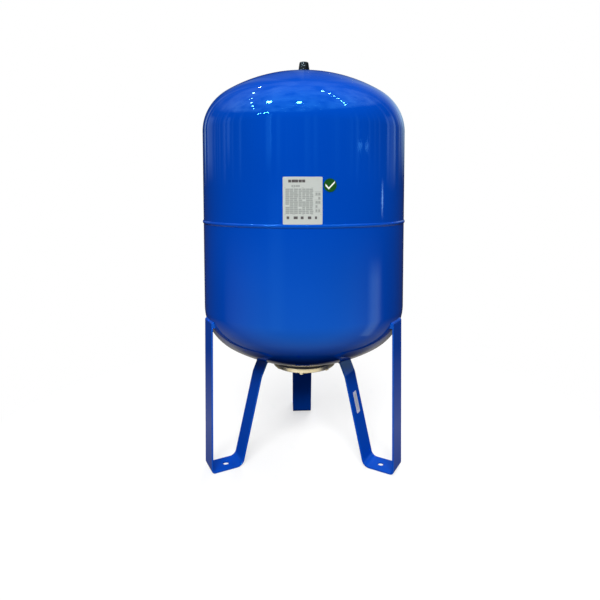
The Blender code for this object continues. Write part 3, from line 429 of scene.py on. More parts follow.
def turned_tree(name):
    """Tree that spins an outline of (radius, 0, height) points about Z.

    Point attributes of the outline say where a screw thread or a weld's ripples
    cut into it (wave) and where it is held to a hexagon (flat).
    """
    sizes = ("Closed", "Waves round", "Waves per metre", "Wave depth")
    tree, given = new_tree(name, ("Segments",), sizes)
    piece = given["Geometry"]
    count = add_node(tree, "GeometryNodeAttributeDomainSize", piece, component="MESH")
    columns = add_node(tree, MATH, count, given["Closed"], operation="ADD")
    rows = add_node(tree, MATH, given["Segments"], 1.0, operation="ADD")
    grid = add_node(tree, "GeometryNodeMeshGrid", 1.0, 1.0, columns, rows)
    place = add_node(tree, "GeometryNodeInputPosition")
    sides = [add_node(tree, SPLIT, place, output=i) for i in (0, 1)]
    along, share = (add_node(tree, MATH, side, 0.5, operation="ADD") for side in sides)
    spans = add_node(tree, MATH, columns, 1.0, operation="SUBTRACT")
    reached = add_node(tree, MATH, along, spans, operation="MULTIPLY")
    step = add_node(tree, MATH, reached, operation="ROUND")
    point = add_node(tree, MATH, step, count, operation="MODULO")
    turn = add_node(tree, MATH, share, math.tau, operation="MULTIPLY")

    def sampled(value, kind):
        inputs = {"Geometry": piece, "Value": value, "Index": point}
        return add_node(tree, "GeometryNodeSampleIndex", inputs=inputs, data_type=kind)

    def named(label):
        held = add_node(tree, "GeometryNodeInputNamedAttribute", label, data_type="FLOAT")
        return sampled(held, "FLOAT")

    corner = sampled(place, "FLOAT_VECTOR")
    radius, height = (add_node(tree, SPLIT, corner, output=i) for i in (0, 2))

    # The radius is kept inside the hexagon where the outline has a flat
    sixth = math.pi / 3
    shifted = add_node(tree, MATH, turn, sixth / 2, operation="ADD")
    past_corner = add_node(tree, MATH, shifted, sixth, operation="MODULO")
    off_flat = add_node(tree, MATH, past_corner, sixth / 2, operation="SUBTRACT")
    slant = add_node(tree, MATH, off_flat, operation="COSINE")
    flat = named("flat")
    to_flat = add_node(tree, MATH, flat, slant, operation="DIVIDE")
    none = add_node(tree, MATH, flat, 0.0, MERGE_DISTANCE, operation="COMPARE")
    limit = add_node(tree, MATH, to_flat, none, operation="ADD")
    radius = add_node(tree, MATH, radius, limit, operation="MINIMUM")

    # A wave that climbs as it goes round is a thread, and a long one is a ripple
    rise = add_node(tree, MATH, height, given["Waves per metre"], operation="MULTIPLY")
    phase = add_node(tree, MATH, share, given["Waves round"], rise, operation="MULTIPLY_ADD")
    within = add_node(tree, MATH, phase, operation="FRACT")
    swing = add_node(tree, MATH, within, 2.0, -1.0, operation="MULTIPLY_ADD")
    ridge = add_node(tree, MATH, swing, operation="ABSOLUTE")
    low = (1 - WAVE_GAIN) / 2
    shape = add_node(tree, MATH, ridge, WAVE_GAIN, low, operation="MULTIPLY_ADD")
    crest = add_node(tree, "ShaderNodeClamp", shape)
    depth = add_node(tree, MATH, named("wave"), given["Wave depth"], operation="MULTIPLY")
    radius = add_node(tree, MATH, crest, depth, radius, operation="MULTIPLY_ADD")

    shares = [add_node(tree, MATH, turn, operation=wave) for wave in ("COSINE", "SINE")]
    x, y = (add_node(tree, MATH, radius, part, operation="MULTIPLY") for part in shares)
    inputs = {"Position": add_node(tree, JOIN, x, y, height)}
    spun = add_node(tree, "GeometryNodeSetPosition", grid, inputs=inputs)
    inputs = {"Distance": MERGE_DISTANCE}
    whole = add_node(tree, "GeometryNodeMergeByDistance", spun, inputs=inputs)
    return close_tree(tree, given, whole)


def circled(tree, given, piece):
    """A piece repeated at even turns about the Z axis."""
    spots = add_node(tree, "GeometryNodePoints", given["Count"])
    number = add_node(tree, "GeometryNodeInputIndex")
    share = add_node(tree, MATH, number, given["Count"], operation="DIVIDE")
    turn = add_node(tree, MATH, share, math.tau, given["First turn"], operation="MULTIPLY_ADD")
    inputs = {"Instance": piece, "Rotation": add_node(tree, JOIN, 0.0, 0.0, turn)}
    return add_node(tree, "GeometryNodeInstanceOnPoints", spots, inputs=inputs)


def circle_tree(name):
    """Tree that repeats a piece round the Z axis."""
    tree, given = new_tree(name, ("Count",), ("First turn",))
    return close_tree(tree, given, circled(tree, given, given["Geometry"]))


def drilled_tree(name):
    """Tree that drills a circle of holes, parallel to Z, through a piece."""
    sizes = ("First turn", "Circle", "Hole", "Low", "High")
    tree, given = new_tree(name, ("Count",), sizes)
    depth = add_node(tree, MATH, given["High"], given["Low"], operation="SUBTRACT")
    ends = add_node(tree, MATH, given["High"], given["Low"], operation="ADD")
    middle = add_node(tree, MATH, ends, 0.5, operation="MULTIPLY")
    inputs = {"Vertices": SMALL_SEGMENTS // 2, "Radius": given["Hole"], "Depth": depth}
    drill = add_node(tree, "GeometryNodeMeshCylinder", inputs=inputs)
    inputs = {"Translation": add_node(tree, JOIN, given["Circle"], 0.0, middle)}
    drill = add_node(tree, "GeometryNodeTransform", drill, inputs=inputs)
    drills = add_node(tree, "GeometryNodeRealizeInstances", circled(tree, given, drill))
    inputs = {"Mesh 1": given["Geometry"], "Mesh 2": drills}
    options = {"operation": "DIFFERENCE", "solver": "EXACT"}
    cut = add_node(tree, "GeometryNodeMeshBoolean", inputs=inputs, **options)
    return close_tree(tree, given, cut)


def printed_tree(name):
    """Tree of printed bars in rows and columns, wrapped round the cylinder.

    Widths vary and some bars are left out, from a fixed seed, so that a block
    of them looks like fine print.
    """
    sizes = (
        "Column pitch", "Row pitch", "Bar width", "Bar height", "Least width", "Left out",
        "Across", "Up", "Radius", "Azimuth", "Film",
    )
    tree, given = new_tree(name, ("Columns", "Rows", "Seed"), sizes)
    total = add_node(tree, MATH, given["Columns"], given["Rows"], operation="MULTIPLY")
    spots = add_node(tree, "GeometryNodePoints", total)
    number = add_node(tree, "GeometryNodeInputIndex")
    column = add_node(tree, MATH, number, given["Columns"], operation="MODULO")
    filled = add_node(tree, MATH, number, given["Columns"], operation="DIVIDE")
    row = add_node(tree, MATH, filled, operation="FLOOR")
    step = given["Column pitch"]
    x = add_node(tree, MATH, column, step, given["Across"], operation="MULTIPLY_ADD")
    drop = add_node(tree, MATH, row, given["Row pitch"], operation="MULTIPLY")
    z = add_node(tree, MATH, given["Up"], drop, operation="SUBTRACT")
    inputs = {"Position": add_node(tree, JOIN, x, 0.0, z)}
    spots = add_node(tree, "GeometryNodeSetPosition", spots, inputs=inputs)

    def drawn(least, seed):
        inputs = {"Min": least, "Max": 1.0, "Seed": seed}
        options = {"output": 1, "data_type": "FLOAT"}
        return add_node(tree, "FunctionNodeRandomValue", inputs=inputs, **options)

    lot = drawn(0.0, given["Seed"])
    dropped = add_node(tree, MATH, lot, given["Left out"], operation="LESS_THAN")
    spots = add_node(tree, "GeometryNodeDeleteGeometry", spots, dropped, domain="POINT")
    share = drawn(given["Least width"], add_node(tree, MATH, given["Seed"], 1.0, operation="ADD"))
    width = add_node(tree, MATH, share, given["Bar width"], operation="MULTIPLY")
    size = add_node(tree, JOIN, width, given["Film"], given["Bar height"])
    bar = add_node(tree, "GeometryNodeMeshCube", (1.0, 1.0, 1.0), BAR_POINTS, 2, 2)
    inputs = {"Translation": (0.5, 0.5, 0.0)}
    bar = add_node(tree, "GeometryNodeTransform", bar, inputs=inputs)
    inputs = {"Instance": bar, "Scale": size}
    bars = add_node(tree, "GeometryNodeInstanceOnPoints", spots, inputs=inputs)
    flat = add_node(tree, "GeometryNodeRealizeInstances", bars)
    place = add_node(tree, "GeometryNodeInputPosition")
    across, out, up = (add_node(tree, SPLIT, place, output=i) for i in range(3))
    arc = add_node(tree, MATH, across, given["Radius"], operation="DIVIDE")
    turn = add_node(tree, MATH, arc, given["Azimuth"], operation="ADD")
    reach = add_node(tree, MATH, out, given["Radius"], operation="ADD")
    shares = [add_node(tree, MATH, turn, operation=wave) for wave in ("SINE", "COSINE")]
    x, back = (add_node(tree, MATH, reach, part, operation="MULTIPLY") for part in shares)
    y = add_node(tree, MATH, back, -1.0, operation="MULTIPLY")
    inputs = {"Position": add_node(tree, JOIN, x, y, up)}
    wrapped = add_node(tree, "GeometryNodeSetPosition", flat, inputs=inputs)
    return close_tree(tree, given, wrapped)


TREE_MAKERS = {
    "Turned section": turned_tree,
    "Circle of pieces": circle_tree,
    "Drilled circle": drilled_tree,
    "Printed bars": printed_tree,
}


# Outlines and meshes


def arc_points(centre, radius, start, end, steps):
    """Points on an arc from one angle to the other, both included."""
    return [
        (centre[0] + radius * math.cos(a), centre[1] + radius * math.sin(a))
        for a in np.linspace(start, end, steps + 1)
    ]


def eased(points, radius, closed=True):
    """Round the corners of a (radius, height) outline by up to a given radius."""
    eased_points = []
    last = len(points) - 1
    for i, corner in enumerate(points):
        if not closed and i in (0, last):
            eased_points.append(corner)
            continue
        here = Vector(corner)
        before = Vector(points[i - 1]) - here
        after = Vector(points[(i + 1) % len(points)]) - here
        turn = math.pi - before.angle(after)
        if turn < SOFT_CORNER:
            eased_points.append(corner)
            continue
        longest = min(before.length, after.length) * EASE_SHARE
        setback = min(radius * math.tan(turn / 2), longest)
        start = here + before.normalized() * setback
        end = here + after.normalized() * setback
        for t in np.linspace(0.0, 1.0, EDGE_STEPS + 1):
            near = start.lerp(here, t).lerp(here.lerp(end, t), t)
            eased_points.append((near.x, near.y))
    return eased_points


def threaded(radius, start, end, pitch):
    """Dense run of outline points for a thread, which fades out at both ends."""
    count = max(2, round(abs(end - start) / pitch * STEPS_PER_THREAD))
    run = []
    for i in range(count + 1):
        height = start + (end - start) * i / count
        to_end = min(i, count - i) / STEPS_PER_THREAD
        run.append((radius, height, min(1.0, to_end), 0.0))
    return run


def outline_mesh(name, outline):
    """Mesh of an outline's points, with its wave and flat attributes."""
    points = [tuple(point) + (0.0,) * (4 - len(point)) for point in outline]
    mesh = bpy.data.meshes.new(name)
    mesh.from_pydata([(r, 0.0, z) for r, z, _, _ in points], [], [])
    for index, label in ((2, "wave"), (3, "flat")):
        held = mesh.attributes.new(label, "FLOAT", "POINT")
        held.data.foreach_set("value", [point[index] for point in points])
    return mesh


def ring_outline(inner, outer, low, high, ease):
    """Outline of a flat ring with eased edges."""
    return eased([(inner, low), (outer, low), (outer, high), (inner, high)], ease)


def thread(pitch, depth):
    """Waves of a screw thread, which climbs by its pitch in a turn."""
    return {"Waves round": 1.0, "Waves per metre": 1.0 / pitch, "Wave depth": depth}


def ripples(count, depth):
    """Waves of a number of weld ripples, which lean as they go round."""
    lean = RIPPLE_LEAN / settings("tank_vessel").ripple_pitch
    return {"Waves round": float(count), "Waves per metre": lean, "Wave depth": depth}


def turned(name, outline, segments, skin, closed=True, waves=None):
    """Spin an outline about Z into one solid."""
    values = {"Segments": segments, "Closed": float(closed), **(waves or {})}
    return grow(name, outline_mesh(name, outline), "Turned section", values, finish(skin))


def turned_piece(name, node, outline, segments, skin, body="tank", **options):
    """Turn a piece that stands for one CAD node."""
    item = turned(name, outline, segments, skin, **options)
    return settle(item, body, SLOTS[skin], node)


def dress_mesh(mesh):
    """Point the faces outward, drop the outline's attributes and shade smoothly."""
    bm = bmesh.new()
    bm.from_mesh(mesh)
    bmesh.ops.dissolve_degenerate(bm, edges=bm.edges, dist=MERGE_DISTANCE / 10)
    bmesh.ops.recalc_face_normals(bm, faces=bm.faces)
    bm.to_mesh(mesh)
    bm.free()
    for label in ("wave", "flat"):
        held = mesh.attributes.get(label)
        if held:
            mesh.attributes.remove(held)
    mesh.shade_smooth()
    mesh.set_sharp_from_angle(angle=SHARP_ANGLE)


def skinned(name, rings, skin, closed=False):
    """Skin a run of equal point rings, capping the ends unless it closes."""
    count, around = len(rings), len(rings[0])
    points = [tuple(point) for ring in rings for point in ring]
    faces = []
    for i in range(count if closed else count - 1):
        near, far = i * around, (i + 1) % count * around
        for k in range(around):
            after = (k + 1) % around
            faces.append((near + k, near + after, far + after, far + k))
    if not closed:
        faces.append(tuple(range(around)))
        faces.append(tuple(range((count - 1) * around, count * around)))
    mesh = bpy.data.meshes.new(name)
    mesh.from_pydata(points, [], faces)
    mesh.materials.append(finish(skin))
    dress_mesh(mesh)
    return new_object(name, mesh)


def settle(item, body, slot, *nodes):
    """Let a finished piece ride its body and stand for its CAD nodes."""
    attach(item, body)
    if nodes:
        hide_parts(*nodes)
    return item


def turn_to(azimuth):
    """Angle about Z that carries +X to an azimuth counted from the front."""
    return azimuth - math.pi / 2


def upright(point):
    """A (radius, height) point or direction, carried into the XZ plane."""
    return Vector((point.x, 0.0, point.y))


# Finishes

# The record's material slot of each finish that replaces a CAD node's
SLOTS = {
    "enamel": "blue_enamel",
    "zinc": "yellow_zinc",
    "rubber": "black_rubber",
    "brass": "brass",
    "steel": "spring_steel",
    "plastic": "black_plastic",
    "film": "silver_film",
    "green": "green_film",
    "paper": "white_paper",
}

# Part of an uneven pattern over which the enamel's shade and the zinc's clouds
# change, and the darker enamel's share of the colour
BLUSH_CONTRAST = (0.35, 0.65)
CLOUD_CONTRAST = (0.35, 0.7)
BLUSH_SHADE = 0.90


def new_finish(name, base, roughness, metallic=0.0, **sockets):
    """Principled material with its uniform values set on the shader itself."""
    material = bpy.data.materials.new(name)
    material.use_nodes = True
    shader = material.node_tree.nodes["Principled BSDF"]
    values = {"Base_Color": (*base, 1.0), "Roughness": roughness, "Metallic": metallic}
    for label, value in {**values, **sockets}.items():
        shader.inputs[label.replace("_", " ")].default_value = value
    return material, material.node_tree, shader


def uneven(tree, cell, detail=2.0, stretch=(1.0, 1.0, 1.0)):
    """Uneven pattern on Object coordinates, whose cells are this many metres wide."""
    place = add_node(tree, "ShaderNodeTexCoord", output="Object")
    scaled = add_node(tree, "ShaderNodeMapping", place, inputs={"Scale": stretch})
    inputs = {"Vector": scaled, "Scale": 1.0 / cell, "Detail": detail}
    return add_node(tree, "ShaderNodeTexNoise", inputs=inputs)


def turning_marks(tree, pitch):
    """Fine rings about the tank's axis, left by the tool."""
    place = add_node(tree, "ShaderNodeTexCoord", output="Object")
    flat = add_node(tree, VECTOR, place, (1.0, 1.0, 0.0), operation="MULTIPLY")
    away = add_node(tree, VECTOR, flat, output="Value", operation="LENGTH")
    phase = add_node(tree, MATH, away, math.tau / pitch, operation="MULTIPLY")
    return add_node(tree, MATH, phase, operation="SINE")


def relief(tree, shader, *layers):
    """Lay patterns over each other as bumps, each of a real height."""
    normal = {}
    for pattern, height in layers:
        inputs = {"Height": pattern, "Distance": height, **normal}
        normal = {"Normal": add_node(tree, "ShaderNodeBump", inputs=inputs)}
    tree.links.new(normal["Normal"], shader.inputs["Normal"])


def mottle(tree, shader, pattern, low, high):
    """Colour that goes from one to the other with a pattern."""
    inputs = {"Factor": pattern, "A": (*low, 1.0), "B": (*high, 1.0)}
    tone = add_node(tree, MIX, inputs=inputs, output="Result", data_type="RGBA")
    tree.links.new(tone, shader.inputs["Base Color"])


def stoved_enamel(c):
    # Stoved alkyd enamel, sprayed: deep blue, glossy, a fine orange peel over
    # the slow waves of the deep drawn sheet
    tint = (*c.enamel_shine, 1.0)
    material, tree, shader = new_finish(
        "stoved_enamel_blue", c.enamel, roughness=0.06, Specular_Tint=tint, IOR=1.50
    )
    waves = uneven(tree, 85 * MM, 1.0)
    peel = uneven(tree, 3.2 * MM, 1.0)
    relief(tree, shader, (waves, 320 * MICRON), (peel, 12 * MICRON))
    blush = add_node(tree, RANGE, uneven(tree, 240 * MM, 1.0), *BLUSH_CONTRAST)
    darker = tuple(v * BLUSH_SHADE for v in c.enamel)
    mottle(tree, shader, blush, darker, c.enamel)
    return material


def passivated_zinc(c):
    # Mild steel, faced in a lathe, zinc plated and passivated yellow: bright
    # straw with faint turning rings and cloudy deeper patches
    material, tree, shader = new_finish(
        "zinc_plate_yellow_passivated", c.zinc, roughness=0.34, metallic=0.7
    )
    clouds = add_node(tree, RANGE, uneven(tree, 18 * MM, 3.0), *CLOUD_CONTRAST)
    mottle(tree, shader, clouds, c.zinc, c.zinc_tint)
    rings = turning_marks(tree, 0.7 * MM)
    relief(tree, shader, (rings, 12 * MICRON), (uneven(tree, 0.6 * MM), 8 * MICRON))
    return material


def moulded_rubber(c):
    # Butyl rubber, press moulded: matt black with the mould's fine grain
    material, tree, shader = new_finish("butyl_rubber_moulded", c.rubber, roughness=0.62)
    relief(tree, shader, (uneven(tree, 0.8 * MM), 30 * MICRON))
    return material


def turned_brass(c):
    # Free cutting brass, turned: warm metal with fine tool rings
    material, tree, shader = new_finish("brass_turned", c.brass, roughness=0.24, metallic=1.0)
    relief(tree, shader, (turning_marks(tree, 0.3 * MM), 4 * MICRON))
    return material


def drawn_steel(c):
    # Stainless spring wire, drawn: smooth grey metal with faint draw marks
    material, tree, shader = new_finish(
        "spring_wire_drawn", c.steel, roughness=0.28, metallic=1.0
    )
    relief(tree, shader, (uneven(tree, 0.2 * MM, 1.0), 2 * MICRON))
    return material


def moulded_plastic(c):
    # Polyethylene, injection moulded: glossy black with a faint mould texture
    material, tree, shader = new_finish(
        "polyethylene_moulded_black", c.plastic, roughness=0.30, Specular_IOR_Level=0.3
    )
    relief(tree, shader, (uneven(tree, 1.5 * MM), 12 * MICRON))
    return material


def silver_film(c):
    # Metallised polyester film: satin pale grey, brushed sideways very finely
    material, tree, shader = new_finish(
        "polyester_film_silver", c.film, roughness=0.38, metallic=0.15
    )
    brushing = uneven(tree, 0.4 * MM, stretch=(0.04, 0.04, 1.0))
    relief(tree, shader, (brushing, 3 * MICRON))
    return material


def vinyl_green(c):
    # Printed vinyl sticker: even green with a soft sheen
    material, tree, shader = new_finish("vinyl_green_printed", c.green, roughness=0.35)
    relief(tree, shader, (uneven(tree, 2 * MM), 10 * MICRON))
    return material


def coated_paper(c):
    # Coated paper sticker: matt, with a trace of fibre
    material, tree, shader = new_finish("paper_coated", c.paper, roughness=0.55)
    relief(tree, shader, (uneven(tree, 0.7 * MM, 4.0), 10 * MICRON))
    return material


def screen_ink(name, tone):
    # Screen print ink: flat colour, slightly grainy at its edges
    material, tree, shader = new_finish(name, tone, roughness=0.5)
    relief(tree, shader, (uneven(tree, 0.3 * MM, 1.0), 3 * MICRON))
    return material


FINISH_MAKERS = {
    "enamel": stoved_enamel,
    "zinc": passivated_zinc,
    "rubber": moulded_rubber,
    "brass": turned_brass,
    "steel": drawn_steel,
    "plastic": moulded_plastic,
    "film": silver_film,
    "green": vinyl_green,
    "paper": coated_paper,
    "ink": lambda c: screen_ink("screen_ink_dark", c.ink),
    "pale_ink": lambda c: screen_ink("screen_ink_fine", c.pale_ink),
    "white_ink": lambda c: screen_ink("screen_ink_white", c.white_ink),
}


@functools.cache
def finish(name):
    return FINISH_MAKERS[name](settings("tank_finishes"))


# Vessel


def crown_depth():
    """How far a crown's centre lies beyond its head's tangent line."""
    v = settings("tank_vessel")
    return math.sqrt((v.crown - v.knuckle) ** 2 - (v.radius - v.knuckle) ** 2)


def head_arc(inset, end_radius, sign, tangent):
    """Knuckle and crown arcs of a head, from its tangent line inward."""
    v = settings("tank_vessel")
    knuckle, crown = v.knuckle - inset, v.crown - inset
    across = v.radius - v.knuckle
    meeting = math.atan2(crown_depth(), across)
    ending = math.acos(end_radius / crown)
    outer = arc_points((across, 0.0), knuckle, 0.0, meeting, HEAD_ARC_STEPS)
    inner = arc_points((0.0, -crown_depth()), crown, meeting, ending, HEAD_ARC_STEPS)
    return [(r, tangent + sign * h) for r, h in outer + inner[1:]]


def lower_crown_centre():
    return settings("tank_vessel").lower_tangent + crown_depth()


def lower_head_z(radius):
    """Height of the lower head's outside at a radius on its crown."""
    crown = settings("tank_vessel").crown
    return lower_crown_centre() - math.sqrt(crown**2 - radius**2)


def shell_gap(point):
    """Signed distance from a point to the outside of the vessel's lower half."""
    v = settings("tank_vessel")
    radius = math.hypot(point.x, point.y)
    if point.z >= v.lower_tangent:
        return radius - v.radius
    below = lower_crown_centre() - point.z
    if radius < below * (v.radius - v.knuckle) / crown_depth():
        return math.hypot(radius, below) - v.crown
    across = radius - (v.radius - v.knuckle)
    return math.hypot(across, v.lower_tangent - point.z) - v.knuckle


def touch_shell(point, direction):
    """Move a point along a direction until it lies one seat gap off the vessel."""
    for _ in range(TOUCH_REPEATS):
        step = shell_gap(point) - SEAT_GAP
        if abs(step) < MERGE_DISTANCE / 10:
            break
        point = point + direction * step
    return point


def joggle_curve():
    """Outer side of the lower half's rim, stepped in to slip into the upper half."""
    v = settings("tank_vessel")
    inset = v.radius - v.wall - SEAT_GAP
    slope_top = v.seam - v.joggle_below
    foot = slope_top - v.joggle_height
    settled = foot - v.joggle_height * JOGGLE_FOOT
    return [(inset, v.rim_top), (inset, slope_top), (v.radius, foot), (v.radius, settled)]


class TANK_OT_vessel(bpy.types.Operator):
    """Build the two deep drawn halves of the vessel"""

    bl_idname = "tank.vessel"
    bl_label = "Vessel Halves"

    def execute(self, context):
        v = context.scene.tank_vessel
        bore = context.scene.tank_valve.boss_bore
        opening = context.scene.tank_flange.hole_radius
        outer = head_arc(0.0, bore, 1, v.upper_tangent)
        inner = head_arc(v.wall, bore, 1, v.upper_tangent)
        rim = [(v.radius - v.wall, v.seam), (v.radius, v.seam)]
        outline = rim + outer + inner[::-1]
        turned_piece("vessel_upper_half", "upper_shell", outline, ROUND_SEGMENTS, "enamel")
        curve = joggle_curve()
        outer = curve + head_arc(0.0, opening, -1, v.lower_tangent)
        inner = [(r - v.wall, z) for r, z in curve]
        inner += head_arc(v.wall, opening, -1, v.lower_tangent)
        outline = outer + inner[::-1]
        turned_piece("vessel_lower_half", "lower_shell", outline, ROUND_SEGMENTS, "enamel")
        return {"FINISHED"}


class TANK_OT_girth_bead(bpy.types.Operator):
    """Build the rippled weld bead round the middle"""

    bl_idname = "tank.girth_bead"
    bl_label = "Girth Bead"

    def execute(self, context):
        v = context.scene.tank_vessel
        seat = v.radius + SEAT_GAP
        proud = v.bead_radius - seat - v.ripple_depth
        half = (v.bead_top - v.bead_bottom) / 2
        radius = (half**2 + proud**2) / (2 * proud)
        centre = (seat + proud - radius, (v.bead_top + v.bead_bottom) / 2)
        spread = math.asin(half / radius)
        steps = EDGE_STEPS * 3
        face = arc_points(centre, radius, spread, -spread, steps)
        outline = [
            (r, z, math.sin(math.pi * i / steps), 0.0) for i, (r, z) in enumerate(face)
        ]
        slope_top = v.seam - v.joggle_below
        groove = v.radius - v.wall
        outline += [(groove, slope_top), (groove, v.seam - SEAT_GAP)]
        outline += [(seat, v.seam - SEAT_GAP)]
        count = round(math.tau * v.bead_radius / v.ripple_pitch)
        turned_piece(
            "girth_weld_bead", "girth_weld", outline, count * SAMPLES_PER_RIPPLE, "enamel",
            waves=ripples(count, v.ripple_depth),
        )
        return {"FINISHED"}


# Legs

LEG_AZIMUTHS = {"front_left": -63.0, "front_right": 59.5, "rear": 182.3}


def leg_turn(side):
    """Turn that carries a leg made along +X to its side."""
    return Matrix.Rotation(turn_to(math.radians(LEG_AZIMUTHS[side])), 4, "Z")


def leg_top_radius():
    """Centre line of the outer strap at its top, seated against the vessel."""
    s = settings("tank_legs")
    far_out = Vector((settings("tank_vessel").radius + s.width, 0.0, s.top))
    return touch_shell(far_out, Vector((-1.0, 0.0, 0.0))).x + s.thickness / 2


def outer_corner_radius():
    """Where the splayed outer strap's centre line meets the foot's."""
    s = settings("tank_legs")
    return leg_top_radius() + math.tan(s.splay) * (s.top - s.thickness / 2)


def end_direction():
    """Direction of the bar's last stretch, up and in towards the lower head."""
    lean = settings("tank_legs").end_lean
    return Vector((-math.sin(lean), math.cos(lean)))


def leg_corners():
    """Corners of the bar's centre line, from the outer top to the inner end."""
    s = settings("tank_legs")
    half = s.thickness / 2
    outer = outer_corner_radius()
    kink = Vector((s.kink_radius, s.kink_height))
    along = end_direction()
    to_centre = Vector((0.0, lower_crown_centre())) - kink
    ahead = to_centre.dot(along)
    nearest = max(0.0, abs(to_centre.cross(along)) - half)
    reach = ahead - math.sqrt(settings("tank_vessel").crown ** 2 - nearest**2)
    return [
        Vector((leg_top_radius(), s.top)),
        Vector((outer, half)),
        Vector((outer - s.foot, half)),
        kink,
        kink + along * (reach - SEAT_GAP),
    ]


def bent_path(corners, radii):
    """Round the inner corners of a polyline to the bend radii."""
    points = [corners[0]]
    for before, corner, after, radius in zip(corners, corners[1:-1], corners[2:], radii):
        into = (corner - before).normalized()
        out = (after - corner).normalized()
        turn = math.acos(max(-1.0, min(1.0, into.dot(out))))
        setback = radius * math.tan(turn / 2)
        side = 1.0 if into.cross(out) > 0 else -1.0
        normal = Vector((-into.y, into.x)) * side
        centre = corner - into * setback + normal * radius
        for a in np.linspace(0.0, turn, BEND_STEPS + 1):
            points.append(centre + (into * math.sin(a) - normal * math.cos(a)) * radius)
    return points + [corners[-1]]


def leg_bar(name):
    """Flat bar swept along the leg's bent centre line, with its edges rolled."""
    s = settings("tank_legs")
    path = bent_path(leg_corners(), (s.outer_bend, s.inner_bend, s.kink_bend))
    half = s.width / 2
    rings = []
    for i, point in enumerate(path):
        into = (point - path[i - 1]).normalized() if i else None
        out = (path[i + 1] - point).normalized() if i + 1 < len(path) else None
        along = ((into or out) + (out or into)).normalized()
        slope = (into or out).dot(along)
        normal = Vector((-along.y, along.x)) * s.thickness / 2 / slope
        left, right = point + normal, point - normal
        corners = ((left, -half), (left, half), (right, half), (right, -half))
        rings.append([(at.x, across, at.y) for at, across in corners])
    bar = skinned(name, rings, "enamel")
    bm = bmesh.new()
    bmesh.ops.create_cone(
        bm,
        cap_ends=True,
        segments=SMALL_SEGMENTS // 2,
        radius1=s.hole_radius,
        radius2=s.hole_radius,
        depth=s.thickness * DRILL_LENGTH,
        matrix=Matrix.Translation((outer_corner_radius() - s.hole_inset, 0.0, 0.0)),
    )
    drill_mesh = bpy.data.meshes.new("foot_drill")
    bm.to_mesh(drill_mesh)
    bm.free()
    drill = new_object("foot_drill", drill_mesh)
    hole = {"operation": "DIFFERENCE", "solver": "EXACT", "object": drill}
    edges = {
        "width": s.edge_round,
        "segments": ROLLED_STEPS,
        "limit_method": "ANGLE",
        "angle_limit": s.square_edge,
        "harden_normals": True,
    }
    for kind, options in (("BOOLEAN", hole), ("BEVEL", edges)):
        modifier = bar.modifiers.new(kind.lower(), kind)
        for option, value in options.items():
            setattr(modifier, option, value)
    bake_modifiers(bar)
    bpy.data.objects.remove(drill, do_unlink=True)
    return bar


class TANK_OT_legs(bpy.types.Operator):
    """Build the three bent legs"""

    bl_idname = "tank.legs"
    bl_label = "Legs"

    def execute(self, context):
        for side in LEG_AZIMUTHS:
            leg = leg_bar(f"strap_leg_{side}")
            leg.data.transform(leg_turn(side))
            settle(leg, "tank", SLOTS["enamel"], f"leg_{side}")
        return {"FINISHED"}


def fillet_ring(root, toe, head, ripple):
    """Section of a fillet weld with a bulged, rippled face."""
    steps = EDGE_STEPS * 2
    across, up = toe - root, head - root
    swell = root + (across + up) * WELD_SWELL
    outward = (across + up).normalized()
    face = []
    for t in np.linspace(0.0, 1.0, steps + 1):
        point = head.lerp(swell, t).lerp(swell.lerp(toe, t), t)
        face.append(point - outward * ripple * math.sin(math.pi * t))
    return [root, *face]


def spaced(start, end):
    """How many ripple samples fit between two points."""
    pitch = settings("tank_vessel").ripple_pitch / SAMPLES_PER_RIPPLE
    return max(1, round((end - start).length / pitch))


def stations(corners, normals):
    """(Edge point, outward direction) pairs round the corners of a bar's end."""
    made = []
    fan = EDGE_STEPS * 3
    for i, corner in enumerate(corners):
        for k in range(fan + 1):
            made.append((corner, normals[i].lerp(normals[i + 1], k / fan).normalized()))
        if i + 1 < len(corners):
            following = corners[i + 1]
            count = spaced(corner, following)
            made += [(corner.lerp(following, k / count), normals[i + 1]) for k in range(1, count)]
    return made


def leg_weld(name, made, towards_shell, climb, closed):
    """Fillet weld between the stations of a bar and the vessel."""
    size = settings("tank_legs").weld_size
    v = settings("tank_vessel")
    rings = []
    travelled = 0.0
    last = None
    for edge_point, outward in made:
        root = edge_point + outward * SEAT_GAP
        toe = touch_shell(root + outward * size, towards_shell)
        foot = touch_shell(root, towards_shell)
        if last is not None:
            travelled += (toe - last).length
        last = toe
        within = travelled / v.ripple_pitch % 1.0
        ripple = v.ripple_depth * (1.0 - abs(math.sin(math.pi * within)))
        rings.append(fillet_ring(foot, toe, root - towards_shell * climb, ripple))
    return skinned(name, rings, "enamel", closed=closed)


def outer_leg_weld(name):
    """Fillet over the top of the outer strap and a short way down both sides."""
    s = settings("tank_legs")
    seat = leg_top_radius() - s.thickness / 2
    up, left, right = Vector((0, 0, 1)), Vector((0, -1, 0)), Vector((0, 1, 0))
    left_top, right_top = (Vector((seat, y, s.top)) for y in (-s.width / 2, s.width / 2))
    drop = up * s.weld_run
    count = spaced(left_top - drop, left_top)
    made = [(left_top - drop * (1 - k / count), left) for k in range(count)]
    made += stations([left_top, right_top], [left, up, right])
    made += [(right_top - drop * k / count, right) for k in range(1, count + 1)]
    return leg_weld(name, made, Vector((-1.0, 0.0, 0.0)), s.thickness - SEAT_GAP, False)


